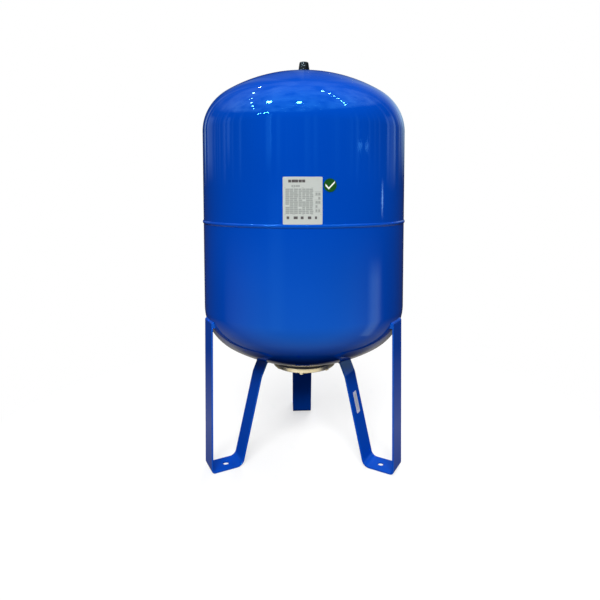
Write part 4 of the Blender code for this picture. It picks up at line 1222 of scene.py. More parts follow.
def inner_leg_weld(name):
    """Fillet all round the bar's square end where it meets the lower head."""
    s = settings("tank_legs")
    along = upright(end_direction())
    across = Vector((along.z, 0.0, -along.x)) * s.thickness / 2
    side = Vector((0.0, s.width / 2, 0.0))
    centre = upright(leg_corners()[-1])
    corners = [centre + across * a + side * b for a, b in ((1, -1), (1, 1), (-1, 1), (-1, -1))]
    normals = [normal.normalized() for normal in (-side, across, side, -across, -side)]
    made = stations(corners, normals)
    first, last = corners[0], corners[-1]
    count = spaced(last, first)
    made += [(last.lerp(first, k / count), normals[-1]) for k in range(1, count)]
    return leg_weld(name, made, along, s.weld_size, True)


class TANK_OT_leg_welds(bpy.types.Operator):
    """Build the fillet welds at both ends of each leg"""

    bl_idname = "tank.leg_welds"
    bl_label = "Leg Welds"

    def execute(self, context):
        for side in LEG_AZIMUTHS:
            for end, maker in (("outer", outer_leg_weld), ("inner", inner_leg_weld)):
                weld = maker(f"strap_weld_{side}_{end}")
                weld.data.transform(leg_turn(side))
                settle(weld, "tank", SLOTS["enamel"], f"leg_{side}_{end}_weld")
        return {"FINISHED"}


# Bottom flange, bag and water port


def fillet_outline(root, toe, head):
    """Outline of a turned fillet weld, with its ripple attribute."""
    ring = fillet_ring(Vector(root), Vector(toe), Vector(head), 0.0)
    face = len(ring) - 2
    outline = [(ring[0].x, ring[0].y)]
    for i, point in enumerate(ring[1:]):
        outline.append((point.x, point.y, math.sin(math.pi * i / face), 0.0))
    return outline


def round_weld(name, node, skin, root, toe, head):
    """Rippled fillet weld that runs round the tank's axis."""
    v = settings("tank_vessel")
    count = round(math.tau * toe[0] / v.ripple_pitch)
    outline = fillet_outline(root, toe, head)
    waves = ripples(count, -v.ripple_depth)
    turned_piece(name, node, outline, count * SAMPLES_PER_RIPPLE, skin, waves=waves)


def drilled(item, low, high):
    """Drill the circle of stud holes through a piece of the bottom flange."""
    f = settings("tank_flange")
    values = {
        "Count": f.studs,
        "First turn": turn_to(f.stud_azimuth),
        "Circle": f.stud_circle,
        "Hole": f.stud_radius + f.stud_clearance,
        "Low": low,
        "High": high,
    }
    name, mesh, material = item.name, item.data, item.data.materials[0]
    bpy.data.objects.remove(item, do_unlink=True)
    return grow(name, mesh, "Drilled circle", values, material)


class TANK_OT_neck(bpy.types.Operator):
    """Build the neck ring and its weld under the lower head"""

    bl_idname = "tank.neck"
    bl_label = "Neck Ring"

    ease = 0.0006

    def execute(self, context):
        f = context.scene.tank_flange
        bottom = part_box("neck_ring")[0].z
        outline = [
            (f.hole_radius, bottom),
            (f.ring_radius, bottom),
            (f.ring_radius, lower_head_z(f.ring_radius) - SEAT_GAP),
            (f.hole_radius, lower_head_z(f.hole_radius) - SEAT_GAP),
        ]
        outline = eased(outline, self.ease)
        turned_piece("neck_flange_ring", "neck_ring", outline, ROUND_SEGMENTS, "enamel")
        inner = f.ring_radius + SEAT_GAP
        outer = inner + f.weld_size
        root = (inner, lower_head_z(inner) - SEAT_GAP)
        toe = (outer, lower_head_z(outer) - SEAT_GAP)
        head = (inner, root[1] - f.weld_size)
        round_weld("neck_weld_bead", "neck_weld", "enamel", root, toe, head)
        return {"FINISHED"}


class TANK_OT_bag(bpy.types.Operator):
    """Build the rubber bag with its lip turned up round the neck ring"""

    bl_idname = "tank.bag"
    bl_label = "Rubber Bag"

    wall = 0.0025
    neck_clearance = 0.0035
    neck_rise = 0.008
    side_clearance = 0.0335
    above_widest = 0.180
    neck_flare = 0.044
    lower_round = 0.095
    upper_round = 0.110
    lip_ease = 0.0007
    drill_below = 0.004
    drill_above = 0.002

    def bag_curve(self, context):
        """Outer side of the bag, from its neck to its closed top on the axis."""
        f = context.scene.tank_flange
        v = context.scene.tank_vessel
        neck = Vector((f.hole_radius - self.neck_clearance, self.neck_top(context)))
        widest = Vector((v.radius - v.wall - self.side_clearance, v.lower_tangent))
        top = Vector((0.0, v.lower_tangent + self.above_widest))
        flare = neck + Vector((self.neck_flare, self.wall))
        falling = widest - Vector((0.0, self.lower_round))
        rising = widest + Vector((0.0, self.upper_round))
        crown = top + Vector((self.upper_round, 0.0))
        curve = []
        for a, b, c, d in ((neck, flare, falling, widest), (widest, rising, crown, top)):
            for t in np.linspace(0.0, 1.0, HEAD_ARC_STEPS + 1):
                u = 1 - t
                point = a * u**3 + b * 3 * u * u * t + c * 3 * u * t * t + d * t**3
                curve.append((point.x, point.y))
        return curve[: HEAD_ARC_STEPS + 1] + curve[HEAD_ARC_STEPS + 2 :]

    def neck_top(self, context):
        return lower_head_z(context.scene.tank_flange.hole_radius) + self.neck_rise

    def execute(self, context):
        f = context.scene.tank_flange
        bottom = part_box("membrane")[0].z
        outer = self.bag_curve(context)
        inner = []
        for i, (r, z) in enumerate(outer):
            before, after = outer[max(i - 1, 0)], outer[min(i + 1, len(outer) - 1)]
            run = (Vector(after) - Vector(before)).normalized()
            inner.append((r - self.wall * run.y, z + self.wall * run.x))
        neck = f.hole_radius - self.neck_clearance
        inner[0] = (neck - self.wall, self.neck_top(context) + self.wall / 2)
        inner[-1] = (0.0, outer[-1][1] - self.wall)
        lip_top = bottom + f.lip_thickness
        outside = node_radius("counter_flange")
        lip = [
            (neck - self.wall, bottom),
            (outside, bottom),
            (outside, lip_top + f.lip_height),
            (f.ring_radius + SEAT_GAP, lip_top + f.lip_height),
            (f.ring_radius + SEAT_GAP, lip_top),
            (neck, lip_top),
        ]
        outline = inner[::-1] + eased(lip, self.lip_ease, closed=False) + outer
        bag = turned("rubber_bag", outline, RING_SEGMENTS, "rubber", closed=False)
        bag = drilled(bag, bottom - self.drill_below, lip_top + self.drill_above)
        settle(bag, "tank", SLOTS["rubber"], "membrane")
        return {"FINISHED"}


class TANK_OT_counter_flange(bpy.types.Operator):
    """Build the plated flange that clamps the bag's lip"""

    bl_idname = "tank.counter_flange"
    bl_label = "Counter-flange"

    ease = 0.0012
    drill_past = 0.004

    def execute(self, context):
        low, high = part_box("counter_flange")
        bore = context.scene.tank_flange.port_bore
        outline = ring_outline(bore, high.x, low.z, high.z, self.ease)
        flange = turned("plated_counter_flange", outline, RING_SEGMENTS, "zinc")
        flange = drilled(flange, low.z - self.drill_past, high.z + self.drill_past)
        settle(flange, "tank", SLOTS["zinc"], "counter_flange")
        return {"FINISHED"}


class TANK_OT_water_port(bpy.types.Operator):
    """Build the water port with its inside thread, and its weld"""

    bl_idname = "tank.water_port"
    bl_label = "Water Port"

    chamfer = 0.0010

    def execute(self, context):
        f = context.scene.tank_flange
        low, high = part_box("port_socket")
        bore, outside = f.port_bore, f.port_bore + f.port_wall
        relief = bore + f.port_depth
        outline = [(outside - self.chamfer, low.z), (outside, low.z + self.chamfer)]
        outline += [(outside, high.z), (bore, high.z)]
        start, end = high.z - f.port_pitch, low.z + relief - bore
        outline += threaded(bore, start, end, f.port_pitch) + [(relief, low.z)]
        waves = thread(f.port_pitch, f.port_depth)
        turned_piece(
            "water_port_socket", "port_socket", outline, RING_SEGMENTS, "zinc", waves=waves
        )
        root = (outside + SEAT_GAP, high.z)
        toe = (root[0] + f.port_weld, high.z)
        head = (root[0], high.z - f.port_weld)
        round_weld("water_port_weld", "port_weld", "zinc", root, toe, head)
        return {"FINISHED"}


def hexagon(flats):
    """Inner and outer radius of a hexagon, its round face and its chamfer's height."""
    flat, corner = flats / 2, flats / math.sqrt(3)
    face = flat * NUT_FACE
    return flat, corner, face, (corner - face) * NUT_CHAMFER


def hex_cone(start, end, from_z, to_z, flat):
    """Outline points along a hexagon's chamfer cone, held to its flats."""
    return [
        (start + (end - start) * t, from_z + (to_z - from_z) * t, 0.0, flat)
        for t in np.linspace(0.0, 1.0, 2 * EDGE_STEPS + 1)
    ]


class TANK_OT_studs(bpy.types.Operator):
    """Build the ring of studs and nuts under the counter-flange"""

    bl_idname = "tank.studs"
    bl_label = "Studs and Nuts"

    tip = 0.0008
    ease = 0.0005

    def execute(self, context):
        f = context.scene.tank_flange
        low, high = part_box("flange_stud_1")
        radius = f.stud_radius
        outline = [(0.0, high.z), (radius, high.z)]
        outline += threaded(radius, high.z - f.stud_pitch, low.z + self.tip, f.stud_pitch)
        outline += [(radius - self.tip, low.z), (0.0, low.z)]
        waves = thread(f.stud_pitch, -f.stud_depth)
        self.repeat(f, "stud", outline, SMALL_SEGMENTS // 2, closed=False, waves=waves)
        low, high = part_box("flange_nut_1")
        flat, corner, face, drop = hexagon(f.nut_flats)
        bore = radius + SEAT_GAP
        outline = [(bore, high.z - self.ease), (bore + self.ease, high.z)]
        outline += hex_cone(face, corner, high.z, high.z - drop, flat)
        outline += hex_cone(corner, face, low.z + drop, low.z, flat)
        outline += [(bore + self.ease, low.z), (bore, low.z + self.ease)]
        self.repeat(f, "nut", outline, HEX_SEGMENTS)
        return {"FINISHED"}

    def repeat(self, f, kind, outline, segments, **options):
        """Turn one piece, carry it to the circle and repeat it round the axis."""
        one = turned(f"one_{kind}", outline, segments, "zinc", **options)
        mesh = one.data
        bpy.data.objects.remove(one, do_unlink=True)
        mesh.transform(Matrix.Translation((f.stud_circle, 0.0, 0.0)))
        values = {"Count": f.studs, "First turn": turn_to(f.stud_azimuth)}
        ring = grow(f"flange_{kind}s", mesh, "Circle of pieces", values, finish("zinc"))
        nodes = [f"flange_{kind}_{i}" for i in range(1, f.studs + 1)]
        settle(ring, "tank", SLOTS["zinc"], *nodes)


# Air valve and cap


class TANK_OT_valve(bpy.types.Operator):
    """Build the welded boss, the seal and the brass body of the air valve"""

    bl_idname = "tank.valve"
    bl_label = "Air Valve"

    boss_ease = 0.0005
    seal_ease = 0.0006
    tip = 0.0005

    def execute(self, context):
        s = context.scene.tank_valve
        low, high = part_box("valve_boss")
        outside = s.boss_bore + s.boss_wall
        outline = ring_outline(s.boss_bore, outside, low.z, high.z, self.boss_ease)
        turned_piece("air_valve_boss", "valve_boss", outline, SMALL_SEGMENTS, "enamel")
        root = (outside + SEAT_GAP, low.z)
        toe = (root[0] + s.boss_weld, low.z)
        head = (root[0], low.z + s.boss_weld)
        round_weld("air_valve_boss_weld", "valve_boss_weld", "enamel", root, toe, head)
        low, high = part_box("valve_seal")
        inner = s.boss_bore + SEAT_GAP
        outline = ring_outline(inner, high.x, low.z, high.z, self.seal_ease)
        turned_piece("air_valve_seal", "valve_seal", outline, SMALL_SEGMENTS, "rubber")
        self.stem(s, high.z + SEAT_GAP)
        return {"FINISHED"}

    def stem(self, s, hex_low):
        """Brass body: screwed shank, hexagon, threaded mouth and a bore."""
        low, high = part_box("valve_stem")
        hex_high = hex_low + s.stem_hex
        shank = s.boss_bore - SEAT_GAP
        mouth = s.stem_bore + s.stem_wall
        tip = self.tip
        flat, corner, face, drop = hexagon(s.stem_flats)
        outline = [(shank - tip, low.z), (shank, low.z + tip), (shank, hex_low)]
        outline += [(face, hex_low), (corner, hex_low + tip, 0.0, flat)]
        outline += hex_cone(corner, face, hex_high - drop, hex_high, flat)
        outline += [(mouth, hex_high)]
        outline += threaded(mouth, hex_high + tip, high.z - tip, s.stem_pitch)
        outline += [(mouth - tip, high.z), (s.stem_bore, high.z), (s.stem_bore, low.z)]
        waves = thread(s.stem_pitch, -s.stem_depth)
        turned_piece(
            "air_valve_stem", "valve_stem", outline, HEX_SEGMENTS, "brass", waves=waves
        )


class TANK_OT_valve_core(bpy.types.Operator):
    """Build the valve core: its barrel, the sprung pin and the coil spring"""

    bl_idname = "tank.valve_core"
    bl_label = "Valve Core"

    collar_height = 0.0008
    collar_clearance = 0.00035
    poppet_inset = 0.0003
    ease = 0.00015
    travel = 0.0015
    steps_per_turn = 48
    wire_sides = 12

    def execute(self, context):
        s = context.scene.tank_valve
        low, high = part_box("valve_core")
        shoulder = high.z - s.core_head
        floor = low.z + s.core_floor
        way = s.pin_radius + SEAT_GAP
        bore = s.core_barrel - s.core_wall
        outline = [
            (way, low.z),
            (s.core_barrel, low.z),
            (s.core_barrel, shoulder),
            (s.stem_bore - SEAT_GAP, shoulder),
            (s.stem_bore - SEAT_GAP, high.z),
            (way, high.z),
            (way, shoulder),
            (bore, shoulder),
            (bore, floor),
            (way, floor),
        ]
        outline = eased(outline, self.ease)
        turned_piece("valve_core_barrel", "valve_core", outline, SMALL_SEGMENTS, "brass")
        collar = shoulder - SEAT_GAP - self.collar_height
        self.pin(s, low.z - SEAT_GAP, collar, bore)
        self.spring(s, floor, collar, (s.pin_radius + bore) / 2)
        return {"FINISHED"}

    def pin(self, s, poppet_top, collar, bore):
        """Sprung pin: its poppet under the barrel and its collar over the spring."""
        low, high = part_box("valve_pin")
        poppet = s.core_barrel - self.poppet_inset
        wide = bore - self.collar_clearance
        collar_top = collar + self.collar_height
        outline = [
            (0.0, low.z),
            (poppet, low.z),
            (poppet, poppet_top),
            (s.pin_radius, poppet_top),
            (s.pin_radius, collar),
            (wide, collar),
            (wide, collar_top),
            (s.pin_radius, collar_top),
            (s.pin_radius, high.z),
            (0.0, high.z),
        ]
        outline = eased(outline, self.ease, closed=False)
        turned_piece(
            "valve_core_pin", "valve_pin", outline, SMALL_SEGMENTS, "brass",
            body="pin", closed=False,
        )

    def spring(self, s, floor, collar, coil_radius):
        """Coil spring between the barrel's floor and the pin's collar."""
        margin = SEAT_GAP + s.wire_radius
        low, high = floor + margin, collar - margin
        count = s.turns * self.steps_per_turn
        rings = []
        for i in range(count + 1):
            turn = math.tau * i / self.steps_per_turn
            radial = Vector((math.cos(turn), math.sin(turn), 0.0))
            centre = radial * coil_radius
            centre.z = low + (high - low) * i / count
            ring = []
            for a in np.linspace(0.0, math.tau, self.wire_sides, endpoint=False):
                around = radial * math.cos(a) + Vector((0.0, 0.0, math.sin(a)))
                ring.append(centre + around * s.wire_radius)
            rings.append(ring)
        spring = skinned("valve_core_spring", rings, "steel")
        settle(spring, "tank", SLOTS["steel"], "valve_spring")
        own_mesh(spring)


class TANK_OT_cap(bpy.types.Operator):
    """Build the plastic cap over the air valve"""

    bl_idname = "tank.cap"
    bl_label = "Valve Cap"

    def execute(self, context):
        s = context.scene.tank_valve
        low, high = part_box("valve_cap")
        base = high.x
        taper = (base - s.cap_top) / (high.z - low.z)
        ceiling = high.z - s.cap_wall
        inner_top = s.cap_top + taper * s.cap_wall - s.cap_wall
        outline = [(0.0, ceiling), (inner_top, ceiling), (base - s.cap_wall, low.z)]
        outline += [(base, low.z), (s.cap_top, high.z), (0.0, high.z)]
        outline = eased(outline, s.cap_edge, closed=False)
        turned_piece(
            "air_valve_cap", "valve_cap", outline, SMALL_SEGMENTS, "plastic",
            body="cap", closed=False,
        )
        return {"FINISHED"}


# Labels

PLATE_STEPS = 32
STICKER_STEPS = 4
PRINT_GAP = 0.00002
PRINT_FILM = 0.00005


def rounded_edges(width, height, corner, steps):
    """Lower and upper edge points across a rounded rectangle, left to right."""
    left = []
    for a in np.linspace(0.0, math.pi / 2, 3 * EDGE_STEPS + 1):
        across = -width / 2 + corner * (1 - math.cos(a))
        left.append((across, height / 2 - corner * (1 - math.sin(a))))
    start, end = left[-1][0], -left[-1][0]
    middle = [(start + (end - start) * i / steps, height / 2) for i in range(1, steps)]
    right = [(-across, tall) for across, tall in reversed(left)]
    return evenly(left + middle + right)


def evenly(columns):
    """Edge points that lie as far under the middle line as over it."""
    return [((across, -tall), (across, tall)) for across, tall in columns]


def ribbon(name, edges, thickness, rule, skin):
    """Thin sheet between two edges, carried from (across, up, out) into space by a rule."""
    rings = [
        [rule(*low, 0.0), rule(*high, 0.0), rule(*high, thickness), rule(*low, thickness)]
        for low, high in edges
    ]
    return skinned(name, rings, skin)


def label_radius():
    """Radius at which the plate and the disc lie on the cylinder."""
    return settings("tank_vessel").radius + SEAT_GAP


def label_bottom():
    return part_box("rating_label")[0].z


def on_cylinder(azimuth, middle_z, radius):
    """Rule that wraps (across, up, out) onto the cylinder at an azimuth."""

    def to_space(across, up, out):
        a = azimuth + across / settings("tank_vessel").radius
        reach = radius + out
        return (reach * math.sin(a), -reach * math.cos(a), middle_z + up)

    return to_space


class Print(NamedTuple):
    """Block of printed bars on the rating plate, in millimetres.

    The start is the first bar's left end and middle, from the plate's bottom
    left corner. Bars keep at least a share of their width, and a share of them
    is left out.
    """

    name: str
    ink: str
    start: tuple
    count: tuple
    pitch: tuple
    bar: tuple
    least: float = 1.0
    left_out: float = 0.0
    seed: int = 1


# Header bars, table lines, rows of fine print, boxes and a foot row
PRINTS = (
    Print("header", "ink", (10, 79.5), (5, 1), (6.4, 0), (6.2, 5.2), 0.75, 0.0, 4),
    Print("subheader", "pale_ink", (16, 70.5), (4, 1), (4.0, 0), (3.8, 3.4), 0.8, 0.0, 7),
    Print("lines", "pale_ink", (3, 67.5), (1, 2), (0, 49.0), (68, 0.5)),
    Print("row_names", "pale_ink", (5, 64.5), (3, 14), (7.8, 3.35), (7.7, 2.8), 0.82, 0.03, 11),
    Print("row_values", "pale_ink", (29, 64.5), (4, 14), (6.8, 3.35), (6.7, 2.7), 0.75, 0.06, 23),
    Print("box_marks", "pale_ink", (60, 56), (2, 5), (5.0, 7.6), (4.4, 4.8), 0.8, 0.1, 31),
    Print("box_lines", "pale_ink", (58.5, 60.5), (1, 6), (0, 7.6), (11.5, 0.5)),
    Print("foot_marks", "ink", (7, 12.5), (5, 1), (13.0, 0), (8.0, 5.0), 0.45, 0.0, 41),
)


class TANK_OT_rating_plate(bpy.types.Operator):
    """Build the rating plate and its generic print"""

    bl_idname = "tank.rating_plate"
    bl_label = "Rating Plate"

    def execute(self, context):
        s = context.scene.tank_labels
        edges = rounded_edges(s.width, s.height, s.corner, PLATE_STEPS)
        rule = on_cylinder(s.azimuth, label_bottom() + s.height / 2, label_radius())
        plate = ribbon("rating_plate", edges, s.thickness, rule, "film")
        settle(plate, "tank", SLOTS["film"], "rating_label")
        for block in PRINTS:
            self.print_bars(s, block)
        return {"FINISHED"}

    def print_bars(self, s, block):
        """Lay one block of bars on the plate."""
        values = {
            "Columns": block.count[0],
            "Rows": block.count[1],
            "Column pitch": block.pitch[0] * MM,
            "Row pitch": block.pitch[1] * MM,
            "Bar width": block.bar[0] * MM,
            "Bar height": block.bar[1] * MM,
            "Least width": block.least,
            "Left out": block.left_out,
            "Seed": block.seed,
            "Across": block.start[0] * MM - s.width / 2,
            "Up": label_bottom() + block.start[1] * MM,
            "Radius": label_radius() + s.thickness + PRINT_GAP,
            "Azimuth": s.azimuth,
            "Film": PRINT_FILM,
        }
        name = f"plate_{block.name}"
        mesh = bpy.data.meshes.new(name)
        item = grow(name, mesh, "Printed bars", values, finish(block.ink))
        settle(item, "tank", SLOTS["film"])


class TANK_OT_round_sticker(bpy.types.Operator):
    """Build the round green sticker with its white tick"""

    bl_idname = "tank.round_sticker"
    bl_label = "Round Sticker"

    end_angle = 0.02
    tick = ((-0.0090, 0.0004), (-0.0028, -0.0060), (0.0088, 0.0060))
    stroke = 0.0036

    def execute(self, context):
        s = context.scene.tank_labels
        across = s.width / 2 + s.disc_gap + s.disc
        azimuth = s.azimuth + across / context.scene.tank_vessel.radius
        middle = label_bottom() + s.height - s.disc_drop
        angles = np.linspace(self.end_angle, math.pi - self.end_angle, DISC_STEPS)
        edges = evenly([(-s.disc * math.cos(a), s.disc * math.sin(a)) for a in angles])
        rule = on_cylinder(azimuth, middle, label_radius())
        sticker = ribbon("round_sticker", edges, s.thickness, rule, "green")
        settle(sticker, "tank", SLOTS["green"], "check_sticker")
        rule = on_cylinder(azimuth, middle, label_radius() + s.thickness + PRINT_GAP)
        half = self.stroke / 2
        edges = [((x, y - half), (x, y + half)) for x, y in self.tick_path()]
        tick = ribbon("round_sticker_tick", edges, PRINT_FILM, rule, "white_ink")
        settle(tick, "tank", SLOTS["green"])
        return {"FINISHED"}

    def tick_path(self):
        """Points along the tick's middle line, close enough to follow the tank."""
        path = []
        for start, end in zip(self.tick, self.tick[1:]):
            for t in np.linspace(0.0, 1.0, STROKE_STEPS, endpoint=False):
                path.append(tuple(Vector(start).lerp(Vector(end), t)))
        return path + [self.tick[-1]]


class TANK_OT_leg_sticker(bpy.types.Operator):
    """Build the small paper sticker on the front right leg"""

    bl_idname = "tank.leg_sticker"
    bl_label = "Leg Sticker"

    corner = 0.001
    bars = ((-0.0045, 0.0012), (0.0, 0.0018), (0.0042, 0.0010))
    bar_reach = 0.017

    def execute(self, context):
        s = context.scene.tank_labels
        seat = context.scene.tank_legs.thickness / 2 + SEAT_GAP
        foot, kink = leg_corners()[2:4]
        rise = (kink - foot).normalized()
        turn = leg_turn("front_right")
        along = upright(rise)
        outward = Vector((rise.y, 0.0, -rise.x))
        middle = upright(foot + rise * ((s.leg_place - foot.y) / rise.y))

        def on_strap(lift):
            def to_space(across, up, out):
                raised = middle + along * up + outward * (seat + lift + out)
                return turn @ (raised + Vector((0.0, across, 0.0)))

            return to_space

        edges = rounded_edges(s.leg_width, s.leg_height, self.corner, STICKER_STEPS)
        paper = ribbon("leg_sticker_paper", edges, s.thickness, on_strap(0.0), "paper")
        settle(paper, "tank", SLOTS["paper"], "leg_sticker")
        rule = on_strap(s.thickness + PRINT_GAP)
        for number, (across, width) in enumerate(self.bars, 1):
            left, right = across - width / 2, across + width / 2
            levels = (-self.bar_reach, 0.0, self.bar_reach)
            edges = [((left, up), (right, up)) for up in levels]
            bar = ribbon(f"leg_sticker_bar_{number}", edges, PRINT_FILM, rule, "pale_ink")
            settle(bar, "tank", SLOTS["paper"])
        return {"FINISHED"}


# Stage

# What the gloss mirrors: dim surroundings with a pale ceiling, two round lamps,
# rows of small lamps and upright pale strips. Lamps lie on a ceiling one unit up,
# at (right, back) of the tank, and a row has a start, a step and a count. Strips
# are (azimuth, half width, lowest and highest elevation, strength), all in
# degrees but the last.
ROUND_LAMPS = ((-0.69, -0.62), (-0.10, -0.92))
LAMP_ROWS = (
    ((-1.93, -1.53), (0.16, -0.06), 4),
    ((-1.40, -0.77), (0.19, 0.23), 6),
    ((0.23, -0.15), (0.115, -0.085), 7),
)
UPRIGHT_STRIPS = (
    (-126.0, 8.0, 3.0, 17.0, 0.35),
    (-89.0, 2.5, 5.0, 17.0, 0.9),
    (-38.5, 2.6, 4.5, 20.0, 1.1),
    (-35.5, 0.8, 6.0, 22.0, 1.6),
    (-30.0, 9.0, -26.0, 1.0, 0.35),
    (62.0, 2.6, 6.1, 6.4, 13.0),
    (71.0, 2.6, 5.9, 6.2, 10.0),
    (84.0, 9.0, -40.0, -9.0, 1.3),
    (95.0, 1.2, -1.6, 0.9, 8.0),
    (113.0, 7.0, 2.0, 19.0, 0.35),
)

# Half angles of the lamps in degrees, the share of a lamp that is fully bright
# and the small lamps' brightness beside the round ones
ROUND_LAMP_ANGLE = 2.6
SMALL_LAMP_ANGLE = 0.9
LAMP_CORE = 0.7
SMALL_LAMP_SHARE = 0.6

# The ceiling's slope to the right, and its beams
CEILING_TILT = 0.22
CEILING_BEAMS = {"Scale": 4.5, "Detail": 4.0}
# The far wall's beams per degree, what is dim between them, the elevations in
# degrees over which they rise and fall, and what is left of them above
WALL_BEAMS = 0.13
WALL_CONTRAST = (0.50, 0.72)
WALL_RISE = (1.0, 6.0)
WALL_FALL = (12.0, 24.0)
WALL_LEAST = 0.2
# Soft edge of a strip, as shares of its half width, and of its ends in degrees
STRIP_SIDES = (0.4, 1.3)
STRIP_END = 1.5
# The dome shoulder's sheen, in degrees: its azimuth, how far its sides fade, and
# the elevations over which it rises and falls
SHOULDER_AZIMUTH = 150.0
SHOULDER_SIDES = (6.0, 27.0)
SHOULDER_RISE = (2.0, 14.0)
SHOULDER_FALL = (18.0, 48.0)

# Ranges (from, to) of a direction's part, with the values at both where they
# aren't 0 and 1
CEILING_EDGE = (0.40, 0.48)
CEILING_FADE = (-0.30, 0.45, 1.0, 0.05)
CEILING_CONTRAST = (0.35, 0.65, 0.3, 1.8)
FAR_FLOOR_RISE = (-0.05, -0.30)
FAR_FLOOR_DEPTH = (-0.60, 0.20)
NEAR_FLOOR_DROP = (-0.30, -0.58)
FILL_RISE = (0.10, 0.70)
FILL_LEAST = 0.15
TINT_CHANGE = (-0.10, 0.05)


def band(tree, value, rise, fall, least=0.0):
    """Value that rises over one range and falls again over another."""
    rising = add_node(tree, RANGE, value, *rise)
    falling = add_node(tree, RANGE, value, *fall, 1.0, least)
    return add_node(tree, MATH, rising, falling, operation="MULTIPLY")


def beside(tree, azimuth, middle, inner, outer):
    """Share that falls off to both sides of an azimuth."""
    offset = add_node(tree, MATH, azimuth, middle, operation="SUBTRACT")
    aside = add_node(tree, MATH, offset, operation="ABSOLUTE")
    return add_node(tree, RANGE, aside, inner, outer, 1.0, 0.0)


def ceiling_gloss(tree, way, x, y, z):
    """Pale ceiling, dimmer at the back and unevenly bright."""
    right = add_node(tree, MATH, x, 0.0, operation="MAXIMUM")
    tilt = add_node(tree, MATH, right, CEILING_TILT, operation="MULTIPLY")
    raised = add_node(tree, MATH, z, tilt, operation="SUBTRACT")
    cover = add_node(tree, RANGE, raised, *CEILING_EDGE)
    fade = add_node(tree, RANGE, y, *CEILING_FADE)
    uneven_light = add_node(
        tree, "ShaderNodeTexNoise", inputs={"Vector": way, **CEILING_BEAMS}
    )
    beams = add_node(tree, RANGE, uneven_light, *CEILING_CONTRAST)
    shown = add_node(tree, MATH, cover, fade, operation="MULTIPLY")
    return add_node(tree, MATH, shown, beams, operation="MULTIPLY")


def wall_gloss(tree, azimuth, height):
    """Far wall over the horizon, lit in uneven upright beams."""
    place = add_node(tree, MATH, azimuth, WALL_BEAMS, operation="MULTIPLY")
    inputs = {"W": place, "Scale": 1.0, "Detail": 2.0}
    lot = add_node(tree, "ShaderNodeTexNoise", inputs=inputs, noise_dimensions="1D")
    beams = add_node(tree, RANGE, lot, *WALL_CONTRAST)
    lit = band(tree, height, WALL_RISE, WALL_FALL, WALL_LEAST)
    return add_node(tree, MATH, beams, lit, operation="MULTIPLY")


def shoulder_gloss(tree, azimuth, height):
    """Bright patch behind and to the right: the pale edge of the dome's shoulder."""
    across = beside(tree, azimuth, SHOULDER_AZIMUTH, *SHOULDER_SIDES)
    along = band(tree, height, SHOULDER_RISE, SHOULDER_FALL)
    return add_node(tree, MATH, across, along, operation="MULTIPLY")


def lamp_gloss(tree, way, place, half_angle):
    """Round lamp seen at a place on the ceiling."""
    towards = Vector((*place, 1.0)).normalized()
    facing = add_node(tree, VECTOR, way, towards, output="Value", operation="DOT_PRODUCT")
    edge = math.cos(math.radians(half_angle))
    core = math.cos(math.radians(half_angle * LAMP_CORE))
    return add_node(tree, RANGE, facing, edge, core)


def strip_gloss(tree, azimuth, height, middle, half, low, high):
    """Upright pale strip with soft sides and ends."""
    across = beside(tree, azimuth, middle, *(half * share for share in STRIP_SIDES))
    soft = min(STRIP_END, (high - low) / 2)
    along = band(tree, height, (low - soft, low + soft), (high - soft, high + soft))
    return add_node(tree, MATH, along, across, operation="MULTIPLY")


def gloss_layers(tree, s, way, x, y, z):
    """Each thing over the floor that the gloss mirrors, with its brightness."""
    yield ceiling_gloss(tree, way, x, y, z), s.ceiling
    front = add_node(tree, MATH, y, -1.0, operation="MULTIPLY")
    turn = add_node(tree, MATH, x, front, operation="ARCTAN2")
    azimuth = add_node(tree, MATH, turn, operation="DEGREES")
    lift = add_node(tree, MATH, z, operation="ARCSINE")
    height = add_node(tree, MATH, lift, operation="DEGREES")
    yield wall_gloss(tree, azimuth, height), s.wall
    yield shoulder_gloss(tree, azimuth, height), s.shoulder
    for *form, strength in UPRIGHT_STRIPS:
        yield strip_gloss(tree, azimuth, height, *form), strength
    for place in ROUND_LAMPS:
        yield lamp_gloss(tree, way, place, ROUND_LAMP_ANGLE), s.lamp
    for (u, v), (du, dv), count in LAMP_ROWS:
        for i in range(count):
            spot = lamp_gloss(tree, way, (u + du * i, v + dv * i), SMALL_LAMP_ANGLE)
            yield spot, s.lamp * SMALL_LAMP_SHARE


def floor_gloss(tree, s, y, z):
    """Floor in the gloss: pale far in front, and dim until it comes near."""
    ahead = add_node(tree, RANGE, y, *FAR_FLOOR_DEPTH, s.far_floor, 0.0)
    reached = add_node(tree, RANGE, z, *FAR_FLOOR_RISE)
    far = add_node(tree, MATH, reached, ahead, operation="MULTIPLY")
    near = add_node(tree, RANGE, z, *NEAR_FLOOR_DROP, s.dim, s.near_floor)
    return add_node(tree, MATH, far, near, operation="MAXIMUM")


